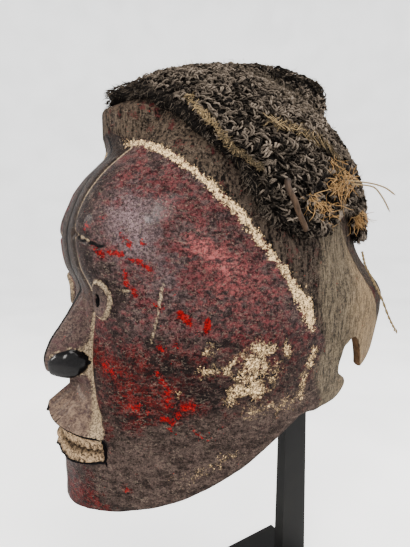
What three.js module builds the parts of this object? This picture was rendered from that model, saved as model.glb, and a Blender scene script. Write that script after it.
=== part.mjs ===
// A carved wooden helmet-like face mask under a cap of knotted fibre, held up
// by a tapered flat bar on a rectangular plate. Millimetres, +Z up. The face
// looks to -Y and +X is the mask's own left side. The origin is the middle of
// the plate's underside.
import * as THREE from 'three';
import { mergeVertices } from 'three/addons/utils/BufferGeometryUtils.js';

// Stand
const PLATE_WIDTH = 120;
const PLATE_LENGTH = 160;
const PLATE_THICKNESS = 6;
const POST_BACK_OFFSET = 47;      // the bar stands this far behind the plate's middle
const POST_WIDE = 28;             // front to back at the foot
const POST_NARROW = 10.6;         // side to side at the foot
const POST_TAPER = 0.7;           // size at the top against the foot
const POST_TOP = 355.5;           // just under the inside of the crown
const GAP = 0.3;                  // free air between two pieces that touch

// Mask
// Lengths of the head are measured from the bar's axis: y is negative to the front.
const HEAD = new THREE.Vector3(0, -85, 290);   // the point the whole shell is seen from
const SECTION_Y = -80;            // middle of the level cross-sections
const CROWN_START = 325;          // above this height the crown closes
const CROWN_RISE = 92;
const LEVEL_SCALE = 85;           // turns the oval's share of its own size into millimetres
const WALL = 13;                  // wood at the face
const WALL_RIM = 5.5;             // wood at the worn edge
const MASK_POLE = 72;             // degrees above the front, where the blank's pole lies
const HAIR_POLE = 105;
const HAIR_GAP = 1.3;
const HAIR_LEAST = 5;             // the cap is never thinner than this
const NEARBY = 0.04;              // how far aside the cap looks for higher wood, in radians

// Each list is [height, length]: the face plane, the half width and the back.
const FACE = [[150, -193], [172, -191.5], [190, -189], [235, -184], [262, -182], [285, -181],
  [303, -186.5], [318, -188], [339, -182.5], [354, -175.5], [366, -167], [374, -161], [400, -160]];
const HALF_WIDTH = [[150, 74], [190, 79], [235, 83], [290, 86], [340, 83], [380, 76], [420, 66]];
const BACK = [[150, -10], [215, 28], [235, 53], [275, 63], [300, 45], [318, 36], [345, 33],
  [380, 20], [420, 0]];
// How square the level sections are: 2 is an oval.
const ROUND_FRONT = [[150, 1.7], [200, 1.9], [260, 2.1], [300, 2], [400, 2.1]];
const ROUND_BACK = [[275, 2.3], [310, 1.75], [345, 1.75], [420, 2.2]];
const NOSE_LENGTH = [[230, 0], [235, 5], [240, 19], [248, 21], [257, 18], [269, 10.5], [286, 0]];
const NOSE_HALF = [[230, 17], [246, 16], [262, 12], [286, 7]];
const MOUTH_LOW = 190;            // height of the lower lip
const MOUTH_HIGH = 222;           // height of the upper lip's peak
const MOUTH_DROP = 15;            // the upper lip falls this much to its corners
const MOUTH_HALF = 30;
const MUZZLE = [[-1.1, 0], [-0.35, 2], [0, 8.5], [0.12, 8.5], [0.88, 12], [1.04, 17], [1.4, 4],
  [1.65, 0]];
// The crease beside the middle strip of the face: [height, distance from the middle].
const CREASE = [[205, 30], [225, 20], [250, 15], [282, 17], [300, 13], [320, 11], [344, 6],
  [356, 13], [369, 21]];
const CREASE_DEPTH = 2.6;
const EYE = { x: 28, z: 284, halfWidth: 8.5, halfHeight: 12, height: 4.5 };
const LOBE = { x: 25, z: 322, halfWidth: 15, halfHeight: 34, height: 2.5 };
const BAND_HEIGHT = 3.2;          // the hairline band stands proud of the face
const BAND_WIDTH = 16;
const HAIRLINE_Z = 179.3;         // the hairline is a plane: z = HAIRLINE_Z - HAIRLINE_SLOPE * y
const HAIRLINE_SLOPE = 1.24;
const BAND_END = { fades: -71, full: -76 };      // the band runs out behind the temple
const BAND_REAR = { starts: -84, ends: -70 };    // and narrows to a point over this stretch
const FACING = { none: -120, full: -165 };       // the face's carving fades towards the cheeks
const FOREHEAD_BLOCK = { y: -118, halfWidth: 34, halfDepth: 41.5, top: 394, bottom: 340 };

// The worn edge of the wood: [degrees round from the chin, degrees from the pole].
const MASK_EDGE = [[0, 122.7], [8, 124.2], [18, 126.9], [29, 130], [41, 132.2], [54, 133.3],
  [79, 133.2], [95, 137], [106, 139], [132, 135], [143, 123.5], [149, 108], [159, 97], [180, 90]];
const NOTCH = { at: 114, before: 8, after: 20, depth: 18 };

// Hair
const CREST = [[-168, 402], [-150, 411], [-125, 421.5], [-71, 439.5], [-20, 446], [12, 443],
  [22, 438]];
const CREST_HALF = 15;
const CREST_ROUND = 20;
const CREST_BACK = 15;
const CREST_FRONT = -167;
const HAIR_THICKNESS = [[300, 7], [345, 9], [400, 10]];
const HAIR_EDGE = [[0, 48.5], [14, 46.5], [25, 46.4], [31, 48], [42, 53], [54, 58.8], [68, 70.3],
  [76, 72], [92, 71], [104, 61], [124, 56], [134, 65], [147, 58], [180, 54]];

// Places are [x, y, z], with y measured from the bar's axis like the head's.
const PEG = [[93.5, -102, 347], [96, -104, 343], [99, -101, 334], [98.5, -93, 322]];
const PEG_RADIUS = 1.7;
const STRAND = [[72, -11, 308], [72.5, -8, 299], [74, -1, 288], [74, 9, 276], [74, 21, 258],
  [74, 31, 246]];
const STRAND_RADIUS = 0.9;

// Curves and blends
const radians = THREE.MathUtils.degToRad;

// A smooth curve through named stations, flat at its peaks.
function through(at, stations) {
  const last = stations.length - 1;
  const x = THREE.MathUtils.clamp(at, stations[0][0], stations[last][0]);
  let i = 0;
  while (i < last - 1 && x > stations[i + 1][0]) i += 1;
  const slope = (k) => (stations[k + 1][1] - stations[k][1]) / (stations[k + 1][0] - stations[k][0]);
  const tangent = (k) => {
    if (k === 0) return slope(0);
    if (k === last) return slope(last - 1);
    const a = slope(k - 1);
    const b = slope(k);
    return a * b <= 0 ? 0 : 2 * a * b / (a + b);
  };
  const width = stations[i + 1][0] - stations[i][0];
  const t = (x - stations[i][0]) / width;
  return stations[i][1] * (1 + 2 * t) * (1 - t) ** 2 + tangent(i) * width * t * (1 - t) ** 2
    + stations[i + 1][1] * t * t * (3 - 2 * t) + tangent(i + 1) * width * t * t * (t - 1);
}

function ease(from, to, x) {
  const t = THREE.MathUtils.clamp((x - from) / (to - from), 0, 1);
  return t * t * (3 - 2 * t);
}

function blend(a, b, reach) {
  const h = THREE.MathUtils.clamp(0.5 + 0.5 * (b - a) / reach, 0, 1);
  return b + (a - b) * h - reach * h * (1 - h);
}

const bell = (x, half) => Math.exp(-((x / half) ** 2));

// The head
// Front of the face at one place: the plane of the face, the nose and the mouth.
function faceY(x, z) {
  const across = Math.min(Math.abs(x) / through(z, NOSE_HALF), 1);
  const nose = through(z, NOSE_LENGTH) * (1 - across ** 1.8) ** 0.9;
  const corner = Math.min(Math.abs(x) / MOUTH_HALF, 1.1);
  const upper = MOUTH_HIGH - MOUTH_DROP * corner ** 0.9;
  const side = Math.min(Math.abs(x) / (MOUTH_HALF * 1.2), 1);
  const mouth = through((z - MOUTH_LOW) / (upper - MOUTH_LOW), MUZZLE) * (1 - side ** 2.4);
  return through(z, FACE) - nose - mouth;
}

// Each of these is below nought inside the form and grows by about 1 per millimetre.
function head(x, y, z, face = faceY) {
  const front = y < SECTION_Y;
  const power = through(z, front ? ROUND_FRONT : ROUND_BACK);
  const depth = front ? SECTION_Y - face(x, z) : through(z, BACK) - SECTION_Y;
  const across = Math.abs(x) / through(z, HALF_WIDTH);
  const level = (across ** power + (Math.abs(y - SECTION_Y) / depth) ** power) ** (1 / power);
  const rise = Math.max((z - CROWN_START) / CROWN_RISE, 0);
  return ((level ** 2.4 + rise ** 2.4) ** (1 / 2.4) - 1) * LEVEL_SCALE;
}

function foreheadBlock(x, y, z) {
  const b = FOREHEAD_BLOCK;
  const oval = Math.hypot(x / b.halfWidth, (y - b.y) / b.halfDepth);
  return Math.max((oval - 1) * 36, z - b.top, b.bottom - z);
}

const wood = (x, y, z) => blend(head(x, y, z), foreheadBlock(x, y, z), 4);

// Shallow carving on top of the form, in millimetres outward.
function relief(x, y, z) {
  const side = Math.abs(x);
  const facing = ease(FACING.none, FACING.full, y);
  let h = -1.2 * bell(x, 3) * ease(262, 290, z) * ease(372, 350, z) * facing;
  h -= CREASE_DEPTH * bell(side - through(z, CREASE), 3.2) * ease(200, 215, z)
    * ease(372, 360, z) * facing;
  const eye = Math.hypot((side - EYE.x) / EYE.halfWidth, (z - EYE.z) / EYE.halfHeight);
  h += EYE.height * Math.sqrt(Math.max(1 - eye * eye, 0)) * facing;
  h += LOBE.height * bell(side - LOBE.x, LOBE.halfWidth) * bell(z - LOBE.z, LOBE.halfHeight) * facing;
  const above = (z - HAIRLINE_Z + HAIRLINE_SLOPE * y) / Math.hypot(1, HAIRLINE_SLOPE);
  const width = BAND_WIDTH * ease(BAND_REAR.ends, BAND_REAR.starts, y);
  const behind = y < -100 ? 1 : ease(width + 5, width - 5, above);
  return h + BAND_HEIGHT * ease(-6, 6, above) * ease(BAND_END.fades, BAND_END.full, y) * behind;
}

function hairForm(x, y, z) {
  const cap = head(x, y, z) - through(z, HAIR_THICKNESS);
  const rise = Math.max(z - through(y, CREST) + CREST_ROUND, 0) / CREST_ROUND;
  const ridge = (Math.hypot(x / CREST_HALF, rise) - 1) * CREST_HALF;
  return blend(cap, Math.max(ridge, y - CREST_BACK, CREST_FRONT - y), 12);
}

// Distance from the middle of the head to a form's surface, along one direction.
function reach(form, d) {
  let near = 10;
  let far = 260;
  for (let i = 0; i < 24; i += 1) {
    const r = (near + far) / 2;
    if (form(HEAD.x + d.x * r, HEAD.y + d.y * r, HEAD.z + d.z * r) < 0) near = r;
    else far = r;
  }
  return near;
}

function carvedReach(d) {
  const r = reach(wood, d);
  return r + relief(HEAD.x + d.x * r, HEAD.y + d.y * r, HEAD.z + d.z * r);
}

// Bowls
// Directions round a full turn, closer together near the marks
// [degrees either side of the front, half width, weight].
function turnStations(count, marks) {
  const steps = 3600;
  const total = [0];
  for (let i = 0; i < steps; i += 1) {
    const a = Math.abs(-180 + (i + 0.5) * 360 / steps);
    total.push(total[i] + marks.reduce((sum, [at, half, w]) => sum + w * bell(a - at, half), 1));
  }
  const out = [];
  let k = 0;
  for (let j = 0; j < count; j += 1) {
    const want = total[steps] * j / count;
    while (total[k + 1] < want) k += 1;
    out.push(-180 + (k + (want - total[k]) / (total[k + 1] - total[k])) * 360 / steps);
  }
  return out;
}

// A thick bowl, turned as a plain blank and then carved: every ring of the
// blank is moved to the wanted distance from HEAD, outside and inside.
function carvedBowl({ pole, turn, rings, innerRings, crowd, edge, outside, inside }) {
  const profile = [];
  for (let k = 0; k <= rings; k += 1) {
    const a = Math.PI * 0.6 * k / rings;
    profile.push(new THREE.Vector2(Math.sin(a), Math.cos(a)));
  }
  for (let k = innerRings; k >= 0; k -= 1) {
    const a = Math.PI * 0.6 * k / innerRings;
    profile.push(new THREE.Vector2(0.9 * Math.sin(a), 0.9 * Math.cos(a)));
  }
  profile[0].x = 0;
  profile[profile.length - 1].x = 0;
  const blank = new THREE.LatheGeometry(profile, turn.length);
  const places = blank.attributes.position;
  const front = edge(0);
  const up = new THREE.Vector3(0, -Math.cos(radians(pole)), Math.sin(radians(pole)));
  const down = new THREE.Vector3(0, -Math.sin(radians(pole)), -Math.cos(radians(pole)));
  for (let j = 0; j <= turn.length; j += 1) {
    const degrees = turn[j % turn.length];
    const limit = edge(Math.abs(degrees));
    const level = new THREE.Vector3(Math.sin(radians(degrees)), 0, 0)
      .addScaledVector(down, Math.cos(radians(degrees)));
    for (let k = 0; k < profile.length; k += 1) {
      const outer = k <= rings;
      const part = outer ? k / rings : (profile.length - 1 - k) / innerRings;
      const share = part + crowd * Math.sin(Math.PI * part);
      const angle = radians(front * share + (limit - front) * ease(0.5, 1, share));
      const d = up.clone().multiplyScalar(Math.cos(angle)).addScaledVector(level, Math.sin(angle));
      const r = outer ? outside(d, share) : inside(d, share);
      places.setXYZ(j * profile.length + k, HEAD.x + d.x * r,
        HEAD.y + d.y * r + POST_BACK_OFFSET, HEAD.z + d.z * r);
    }
  }
  blank.deleteAttribute('uv');
  blank.deleteAttribute('normal');
  blank.setIndex(shortDiagonals(places, turn.length, profile.length));
  return outward(mergeVertices(blank, 1e-3));
}

// Splits every four-sided cell of the blank along its shorter diagonal.
function shortDiagonals(places, turns, ringCount) {
  const at = (j, k) => new THREE.Vector3().fromBufferAttribute(places, j * ringCount + k);
  const index = [];
  for (let j = 0; j < turns; j += 1) {
    for (let k = 0; k < ringCount - 1; k += 1) {
      const a = j * ringCount + k;
      const b = a + ringCount;
      if (at(j, k).distanceTo(at(j + 1, k + 1)) < at(j + 1, k).distanceTo(at(j, k + 1))) {
        index.push(a, b, b + 1, a, b + 1, a + 1);
      } else {
        index.push(a, b, a + 1, b, b + 1, a + 1);
      }
    }
  }
  return index;
}

// Drops collapsed triangles and turns the faces outward.
function outward(geometry) {
  const index = geometry.index.array;
  const p = geometry.attributes.position;
  const kept = [];
  let volume = 0;
  const [a, b, c] = [new THREE.Vector3(), new THREE.Vector3(), new THREE.Vector3()];
  for (let i = 0; i < index.length; i += 3) {
    const t = [index[i], index[i + 1], index[i + 2]];
    if (t[0] === t[1] || t[1] === t[2] || t[0] === t[2]) continue;
    kept.push(...t);
    a.fromBufferAttribute(p, t[0]);
    b.fromBufferAttribute(p, t[1]);
    c.fromBufferAttribute(p, t[2]);
    volume += a.dot(b.cross(c));
  }
  if (volume < 0) kept.reverse();
  geometry.setIndex(kept);
  geometry.computeVertexNormals();
  return geometry;
}

function maskEdge(degrees) {
  const half = degrees < NOTCH.at ? NOTCH.before : NOTCH.after;
  const q = Math.max(1 - Math.abs(degrees - NOTCH.at) / half, 0);
  return through(degrees, MASK_EDGE) - NOTCH.depth * ease(0, 0.55, q);
}

// The hollow inside follows the head without its nose and mouth.
const plainHead = (x, y, z) => head(x, y, z, (_, height) => through(height, FACE));

function hollowReach(d, share) {
  return reach(plainHead, d) - WALL + (WALL - WALL_RIM) * ease(0.6, 1, share);
}

// The hair's inside clears the highest wood close by, so its flat faces never cut in.
function clearReach(d) {
  const aside = new THREE.Vector3(d.z, 0, -d.x).normalize();
  const along = new THREE.Vector3().crossVectors(d, aside);
  let most = carvedReach(d);
  for (let k = 0; k < 6; k += 1) {
    const a = Math.PI * k / 3;
    const near = d.clone().addScaledVector(aside, NEARBY * Math.cos(a))
      .addScaledVector(along, NEARBY * Math.sin(a)).normalize();
    most = Math.max(most, carvedReach(near));
  }
  return most + HAIR_GAP;
}

// A round rod along a curve through the given places (measured from the bar's axis).
function rod(places, radius, steps) {
  const outline = new THREE.Shape();
  const sides = 8;
  for (let k = 0; k < sides; k += 1) {
    const a = 2 * Math.PI * k / sides;
    if (k === 0) outline.moveTo(radius, 0);
    else outline.lineTo(radius * Math.cos(a), radius * Math.sin(a));
  }
  outline.closePath();
  const line = new THREE.CatmullRomCurve3(places.map(([x, y, z]) => new THREE.Vector3(x,
    y + POST_BACK_OFFSET, z)));
  const tube = new THREE.ExtrudeGeometry(outline, { steps, bevelEnabled: false, extrudePath: line });
  tube.deleteAttribute('uv');
  tube.deleteAttribute('normal');
  return outward(mergeVertices(tube, 1e-4));
}

// Pieces
function piece(name, geometry, colour, roughness, metalness = 0) {
  const material = new THREE.MeshStandardMaterial({ color: colour, roughness, metalness });
  const mesh = new THREE.Mesh(geometry, material);
  mesh.name = name;
  return mesh;
}

const part = new THREE.Group();
part.name = 'carved_face_mask_on_stand';

part.add(piece('mask', carvedBowl({
  pole: MASK_POLE,
  turn: turnStations(76, [[0, 32, 1.4], [116, 11, 2.4]]),
  rings: 34,
  innerRings: 8,
  crowd: 0.14,
  edge: maskEdge,
  outside: (d) => carvedReach(d),
  inside: hollowReach,
}), 0x4a2a2a, 0.55));

part.add(piece('hair_cap', carvedBowl({
  pole: HAIR_POLE,
  turn: turnStations(56, [[80, 30, 0.8]]),
  rings: 16,
  innerRings: 11,
  crowd: 0,
  edge: (degrees) => through(degrees, HAIR_EDGE),
  outside: (d) => Math.max(reach(hairForm, d), clearReach(d) + HAIR_LEAST),
  inside: clearReach,
}), 0x232120, 0.95));

// A twig pushed through the edge of the hair, on the left side.
part.add(piece('hair_peg', rod(PEG, PEG_RADIUS, 8), 0x6b5138, 0.85));

// One long strand of fibre hangs free behind the left side.
part.add(piece('hanging_strand', rod(STRAND, STRAND_RADIUS, 24), 0x7a5a34, 0.9));

// The bar tapers upward and ends just under the crown, inside the hollow.
const postHeight = POST_TOP - PLATE_THICKNESS - GAP;
const post = new THREE.BoxGeometry(POST_NARROW, POST_WIDE, postHeight);
const corners = post.attributes.position;
for (let i = 0; i < corners.count; i += 1) {
  if (corners.getZ(i) < 0) continue;
  corners.setX(i, corners.getX(i) * POST_TAPER);
  corners.setY(i, corners.getY(i) * POST_TAPER);
}
post.computeVertexNormals();
post.translate(0, POST_BACK_OFFSET, PLATE_THICKNESS + GAP + postHeight / 2);
part.add(piece('stand_post', post, 0x1b1b1d, 0.45, 0.3));

const plate = new THREE.BoxGeometry(PLATE_WIDTH, PLATE_LENGTH, PLATE_THICKNESS);
plate.translate(0, 0, PLATE_THICKNESS / 2);
part.add(piece('stand_plate', plate, 0x1b1b1d, 0.45, 0.3));

export default part;
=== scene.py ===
# %% [markdown]
# # A carved face mask on a black stand
#
# The object is a hollow wooden mask with a swelling forehead, a long nose and
# bared teeth. It is painted dark red and black, chalk sits in its grooves, and
# a cap of knotted fibre covers the top. A flat black bar holds it over a plate.
# The bar and the plate are used as they are, and every other piece is modelled
# here, because its surface is too fine for the solids.

# %% The frame
import itertools
import math
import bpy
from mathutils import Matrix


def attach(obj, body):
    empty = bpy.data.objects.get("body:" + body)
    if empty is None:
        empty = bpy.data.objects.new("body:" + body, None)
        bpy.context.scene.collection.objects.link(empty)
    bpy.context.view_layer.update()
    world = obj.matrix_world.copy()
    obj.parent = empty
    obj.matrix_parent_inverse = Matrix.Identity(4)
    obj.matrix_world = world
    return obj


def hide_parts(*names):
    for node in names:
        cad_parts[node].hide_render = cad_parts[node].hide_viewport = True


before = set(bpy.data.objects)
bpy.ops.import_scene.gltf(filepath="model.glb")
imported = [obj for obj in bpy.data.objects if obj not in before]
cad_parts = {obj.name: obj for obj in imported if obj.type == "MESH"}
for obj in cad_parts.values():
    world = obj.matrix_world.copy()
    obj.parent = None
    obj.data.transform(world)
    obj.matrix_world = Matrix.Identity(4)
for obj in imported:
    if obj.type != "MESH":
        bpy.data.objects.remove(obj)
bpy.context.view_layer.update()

from types import SimpleNamespace

import bpy
import numpy as np
from mathutils import Vector

MM = 0.001
print("solids:", sorted(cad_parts))

# %% [markdown]
# ## Camera
#
# The picture was taken from close by, about a third of a metre from the mask.
# Nearness is what makes the face large and the plate small, so the camera is
# set by its place and its angle of view. Both were worked out from the bar,
# the plate and the middle line of the face. Places are in millimetres.

# %% The camera
CAMERA_PLACE = (247.7, -205.0, 322.0)
CAMERA_YAW = 57.0
CAMERA_PITCH = 6.0
FOCAL_PIXELS = 411.0
PICTURE_HEIGHT = 547.0

camera = bpy.data.objects.new("camera", bpy.data.cameras.new("camera"))
bpy.context.scene.collection.objects.link(camera)
camera.location = Vector(CAMERA_PLACE) * MM
camera.rotation_euler = (math.radians(90 - CAMERA_PITCH), 0, math.radians(CAMERA_YAW))
camera.data.sensor_width = 36.0
camera.data.lens = camera.data.sensor_width * FOCAL_PIXELS / PICTURE_HEIGHT
camera.data.clip_start = 0.01
bpy.context.scene.camera = camera
print("lens:", round(camera.data.lens, 2), "mm on", camera.data.sensor_width, "mm")

# %% [markdown]
# ## A small language for shaders
#
# A finish is easier to read as a sum than as a web of boxes. `Tone` wraps one
# node socket, and its operators add the Math nodes. `Finish` holds a material
# and adds every other node. Colours are named as they should show, so `paint`
# undoes the soft curve of the picture and the strength of the lamps.


# %% Numbers and colours as sockets
class Tone:
    """A number or a colour that changes over a surface."""

    def __init__(self, finish, socket):
        self.finish = finish
        self.socket = socket

    def math(self, operation, first, second):
        return self.finish.node("ShaderNodeMath", {"operation": operation}, {0: first, 1: second})

    def __add__(self, other):
        return self.math("ADD", self, other)

    def __radd__(self, other):
        return self.math("ADD", other, self)

    def __sub__(self, other):
        return self.math("SUBTRACT", self, other)

    def __rsub__(self, other):
        return self.math("SUBTRACT", other, self)

    def __mul__(self, other):
        return self.math("MULTIPLY", self, other)

    def __rmul__(self, other):
        return self.math("MULTIPLY", other, self)

    def most(self, other):
        """The greater of two tones."""
        return self.math("MAXIMUM", self, other)

    def line(self, width):
        """1 where the tone crosses 0.5, and 0 a little away: thin winding lines."""
        off = self.finish.node("ShaderNodeMath", {"operation": "ABSOLUTE"}, {0: self - 0.5})
        return off.rise(width, width * 0.3)

    def rise(self, low, high):
        """0 below low, 1 above high and a smooth step between them."""
        return self.finish.node(
            "ShaderNodeMapRange",
            {"interpolation_type": "SMOOTHSTEP"},
            {"Value": self, "From Min": low, "From Max": high},
        )


# %% A finish and its nodes
class Finish:
    """One material, built up from tones."""

    def __init__(self, name):
        self.material = bpy.data.materials.new(name)
        self.material.use_nodes = True
        self.tree = self.material.node_tree
        self.tree.nodes.clear()
        self.place = self.node("ShaderNodeTexCoord", output="Object")

    def node(self, kind, settings=None, inputs=None, output=0):
        made = self.tree.nodes.new(kind)
        for key, value in (settings or {}).items():
            setattr(made, key, value)
        for key, value in (inputs or {}).items():
            if isinstance(value, Tone):
                self.tree.links.new(value.socket, made.inputs[key])
            else:
                made.inputs[key].default_value = value
        return Tone(self, made.outputs[output])

    def scaled(self, x, y, z):
        """The place on the surface, stretched along each axis."""
        return self.node("ShaderNodeVectorMath", {"operation": "MULTIPLY"}, {0: self.place, 1: (x, y, z)})

    def noise(self, size, detail=3.0, roughness=0.6, place=None, seed=0.0):
        """Cloudy numbers about 0.5, with lumps of `size` millimetres."""
        return self.node(
            "ShaderNodeTexNoise",
            {"noise_dimensions": "4D"},
            {"Vector": place or self.place, "W": seed, "Scale": 1 / (size * MM), "Detail": detail,
             "Roughness": roughness},
        )

    def field(self, name):
        """The three numbers that a mesh carries under one name."""
        colour = self.node("ShaderNodeAttribute", {"attribute_name": name}, output="Color")
        split = self.node("ShaderNodeSeparateColor", inputs={0: colour})
        outputs = split.socket.node.outputs
        return [Tone(self, outputs[k]) for k in range(3)]

    def mix(self, share, first, second):
        """The first colour, with `share` of the second over it."""
        return self.node("ShaderNodeMix", {"data_type": "RGBA"}, {0: share, 6: first, 7: second}, 2)

    def height(self):
        """Metres above the plate's underside."""
        return self.node("ShaderNodeSeparateXYZ", inputs={0: self.place}, output=2)

    def bump(self, height, distance, strength):
        """Small relief that tilts the light, `distance` millimetres high."""
        return self.node("ShaderNodeBump", inputs={"Height": height, "Distance": distance * MM,
                                                   "Strength": strength})

    def done(self, shine=0.15, **inputs):
        """Ends the finish: the names are the shader's own, with _ for a space."""
        named = {key.replace("_", " "): value for key, value in inputs.items()}
        named["Specular IOR Level"] = shine
        shader = self.node("ShaderNodeBsdfPrincipled", inputs=named)
        end = self.tree.nodes.new("ShaderNodeOutputMaterial")
        self.tree.links.new(shader.socket, end.inputs["Surface"])
        print("finish:", self.material.name, len(self.tree.nodes), "nodes")
        return self.material


# %% Colours as they should show
BRIGHTNESS = 4.6
CURVE_MIDDLE = 3.39
CURVE_POWER = 1.235
LIGHTEST = 0.95


def paint(red, green, blue):
    """The paint that shows as this colour (0 to 255) in the middle of the picture's light."""
    shown = [value / 255 for value in (red, green, blue)]
    light = [(share / (1 - share) / CURVE_MIDDLE) ** CURVE_POWER for share in shown]
    return (*[min(part / BRIGHTNESS, LIGHTEST) for part in light], 1.0)


print("a middle grey is painted", [round(part, 3) for part in paint(128, 128, 128)[:3]])


# %% [markdown]
# ## The room
#
# A pale floor that curves up into a pale wall has no visible horizon. It is one
# bowl, so it looks the same from every side, and it glows a little, as a lit
# screen does. Wide lamps stand in front of the face, overhead and behind.

# %% Floor and lamps
FLOOR_RADIUS = 1.6
WALL_RADIUS = 3.4
WALL_HEIGHT = 2.6
BEND_POINTS = 17
ROOM_SIDES = 96


def room_profile():
    """Flat floor, a quarter circle and a short upright wall, as (radius, height) pairs."""
    bend = WALL_RADIUS - FLOOR_RADIUS
    corner = [(FLOOR_RADIUS + bend * math.sin(a), bend * (1 - math.cos(a)))
              for a in np.linspace(0, math.pi / 2, BEND_POINTS)]
    return [(0.0, 0.0), *corner, (WALL_RADIUS, WALL_HEIGHT)]


def turned(name, profile, sides):
    """A mesh turned about the Z axis from (radius, height) pairs."""
    angles = [2 * math.pi * k / sides for k in range(sides)]
    points = [(r * math.cos(a), r * math.sin(a), z) for a in angles for r, z in profile]
    n = len(profile)
    faces = [(j * n + k, (j + 1) % sides * n + k, (j + 1) % sides * n + k + 1, j * n + k + 1)
             for j in range(sides) for k in range(n - 1)]
    mesh = bpy.data.meshes.new(name)
    mesh.from_pydata(points, [], faces)
    mesh.validate()
    mesh.shade_smooth()
    made = bpy.data.objects.new(name, mesh)
    bpy.context.scene.collection.objects.link(made)
    return made


floor = turned("floor", room_profile(), ROOM_SIDES)

wall_paint = Finish("pale_wall")
drift = wall_paint.noise(240, 2).rise(0.35, 0.7)
wall_white = wall_paint.mix(drift, (0.70, 0.70, 0.70, 1.0), (0.60, 0.60, 0.595, 1.0))
floor.data.materials.append(
    wall_paint.done(Base_Color=wall_white, Roughness=0.8, Emission_Color=(0.99, 1.0, 1.0, 1.0),
                    Emission_Strength=0.95)
)


def lamp(name, place, aim, size, power, colour):
    """A square lamp: metres for its place and size, watts for its power."""
    light = bpy.data.lights.new(name, "AREA")
    light.size = size
    light.energy = power
    light.color = colour
    made = bpy.data.objects.new(name, light)
    made.location = place
    made.rotation_euler = (Vector(aim) - Vector(place)).to_track_quat("-Z", "Y").to_euler()
    bpy.context.scene.collection.objects.link(made)


MASK_MIDDLE = (0.0, -0.04, 0.29)
lamp("front_lamp", (-0.60, -1.20, 0.72), MASK_MIDDLE, 0.38, 24.0, (1.0, 0.95, 0.89))
lamp("key_lamp", (0.80, -1.00, 0.95), MASK_MIDDLE, 0.4, 22.0, (1.0, 0.96, 0.91))
lamp("top_lamp", (0.45, 0.10, 1.45), MASK_MIDDLE, 0.9, 46.0, (1.0, 0.96, 0.91))
lamp("side_lamp", (1.2, 0.9, 0.9), MASK_MIDDLE, 0.8, 16.0, (1.0, 0.97, 0.94))

world = bpy.data.worlds.new("daylight")
world.use_nodes = True
world.node_tree.nodes["Background"].inputs["Color"].default_value = (0.93, 0.95, 1.0, 1.0)
world.node_tree.nodes["Background"].inputs["Strength"].default_value = 0.8
bpy.context.scene.world = world
print("room: floor", FLOOR_RADIUS, "m, wall", WALL_RADIUS, "m")

# %% [markdown]
# ## The form of the head
#
# The mask's solid is a stack of level ovals whose size follows a few named
# heights: the face, the half width and the back. The same rules are repeated
# here in millimetres, and a finer mesh is cut from them. Lengths along Y are
# measured from the bar's axis, which stands 47 mm behind the plate's middle.

# %% Curves through named stations
BAR_BEHIND = 47.0
HEAD = np.array([0.0, -85.0, 290.0])
SECTION_Y = -80.0
CROWN_START = 325.0
CROWN_RISE = 92.0
LEVEL_SCALE = 85.0
WALL = 13.0
WALL_RIM = 5.5


def through(at, stations):
    """A smooth curve through (place, value) stations, flat at its peaks."""
    xs, ys = np.array(stations, float).T
    slopes = np.diff(ys) / np.diff(xs)
    before, after = slopes[:-1], slopes[1:]
    total = np.where(before * after > 0, before + after, 1.0)
    inner = np.where(before * after > 0, 2 * before * after / total, 0.0)
    tangents = np.concatenate([[slopes[0]], inner, [slopes[-1]]])
    x = np.clip(at, xs[0], xs[-1])
    i = np.clip(np.searchsorted(xs, x) - 1, 0, len(xs) - 2)
    width = xs[i + 1] - xs[i]
    t = (x - xs[i]) / width
    return (ys[i] * (1 + 2 * t) * (1 - t) ** 2 + tangents[i] * width * t * (1 - t) ** 2
            + ys[i + 1] * t * t * (3 - 2 * t) + tangents[i + 1] * width * t * t * (t - 1))


def ease(start, end, x):
    t = np.clip((x - start) / (end - start), 0, 1)
    return t * t * (3 - 2 * t)


def bell(x, half):
    return np.exp(-((x / half) ** 2))


def melt(a, b, reach):
    """The lower of two forms, with a soft joint."""
    h = np.clip(0.5 + 0.5 * (b - a) / reach, 0, 1)
    return b + (a - b) * h - reach * h * (1 - h)


# %% Stations of the head
FACE = [(150, -193), (172, -191.5), (190, -189), (235, -184), (262, -182), (285, -181), (303, -186.5),
        (318, -188), (339, -182.5), (354, -175.5), (366, -167), (374, -161), (400, -160)]
HALF_WIDTH = [(150, 74), (190, 79), (235, 83), (290, 86), (340, 83), (380, 76), (420, 66)]
BACK = [(150, -10), (215, 28), (235, 53), (275, 63), (300, 45), (318, 36), (345, 33), (380, 20), (420, 0)]
ROUND_FRONT = [(150, 1.7), (200, 1.9), (260, 2.1), (300, 2), (400, 2.1)]
ROUND_BACK = [(275, 2.3), (310, 1.75), (345, 1.75), (420, 2.2)]
NOSE_LENGTH = [(230, 0), (235, 5), (240, 19), (248, 21), (257, 18), (269, 10.5), (286, 0)]
NOSE_HALF = [(230, 17), (246, 16), (262, 12), (286, 7)]
LIP_EDGE = [(0, 219), (3, 214), (18, 208), (29, 204), (34, 203)]
LOWER_LIP = [(0, 192), (16, 188), (24, 188.5), (31, 191)]
MOUTH_HALF = 31.0
MUZZLE = [(-1.1, 0), (-0.45, 2), (-0.12, 4), (0, 8.6), (0.05, 9.4), (0.1, 7.4), (0.3, 9), (0.6, 9.5),
          (0.9, 11.5), (0.985, 12), (1.03, 16), (1.07, 16.6), (1.4, 5), (1.7, 0)]
EYE_LEVEL = 284.0
FOREHEAD_BLOCK = {"y": -118, "half_width": 34, "half_depth": 41.5, "top": 394, "bottom": 340}


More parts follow.
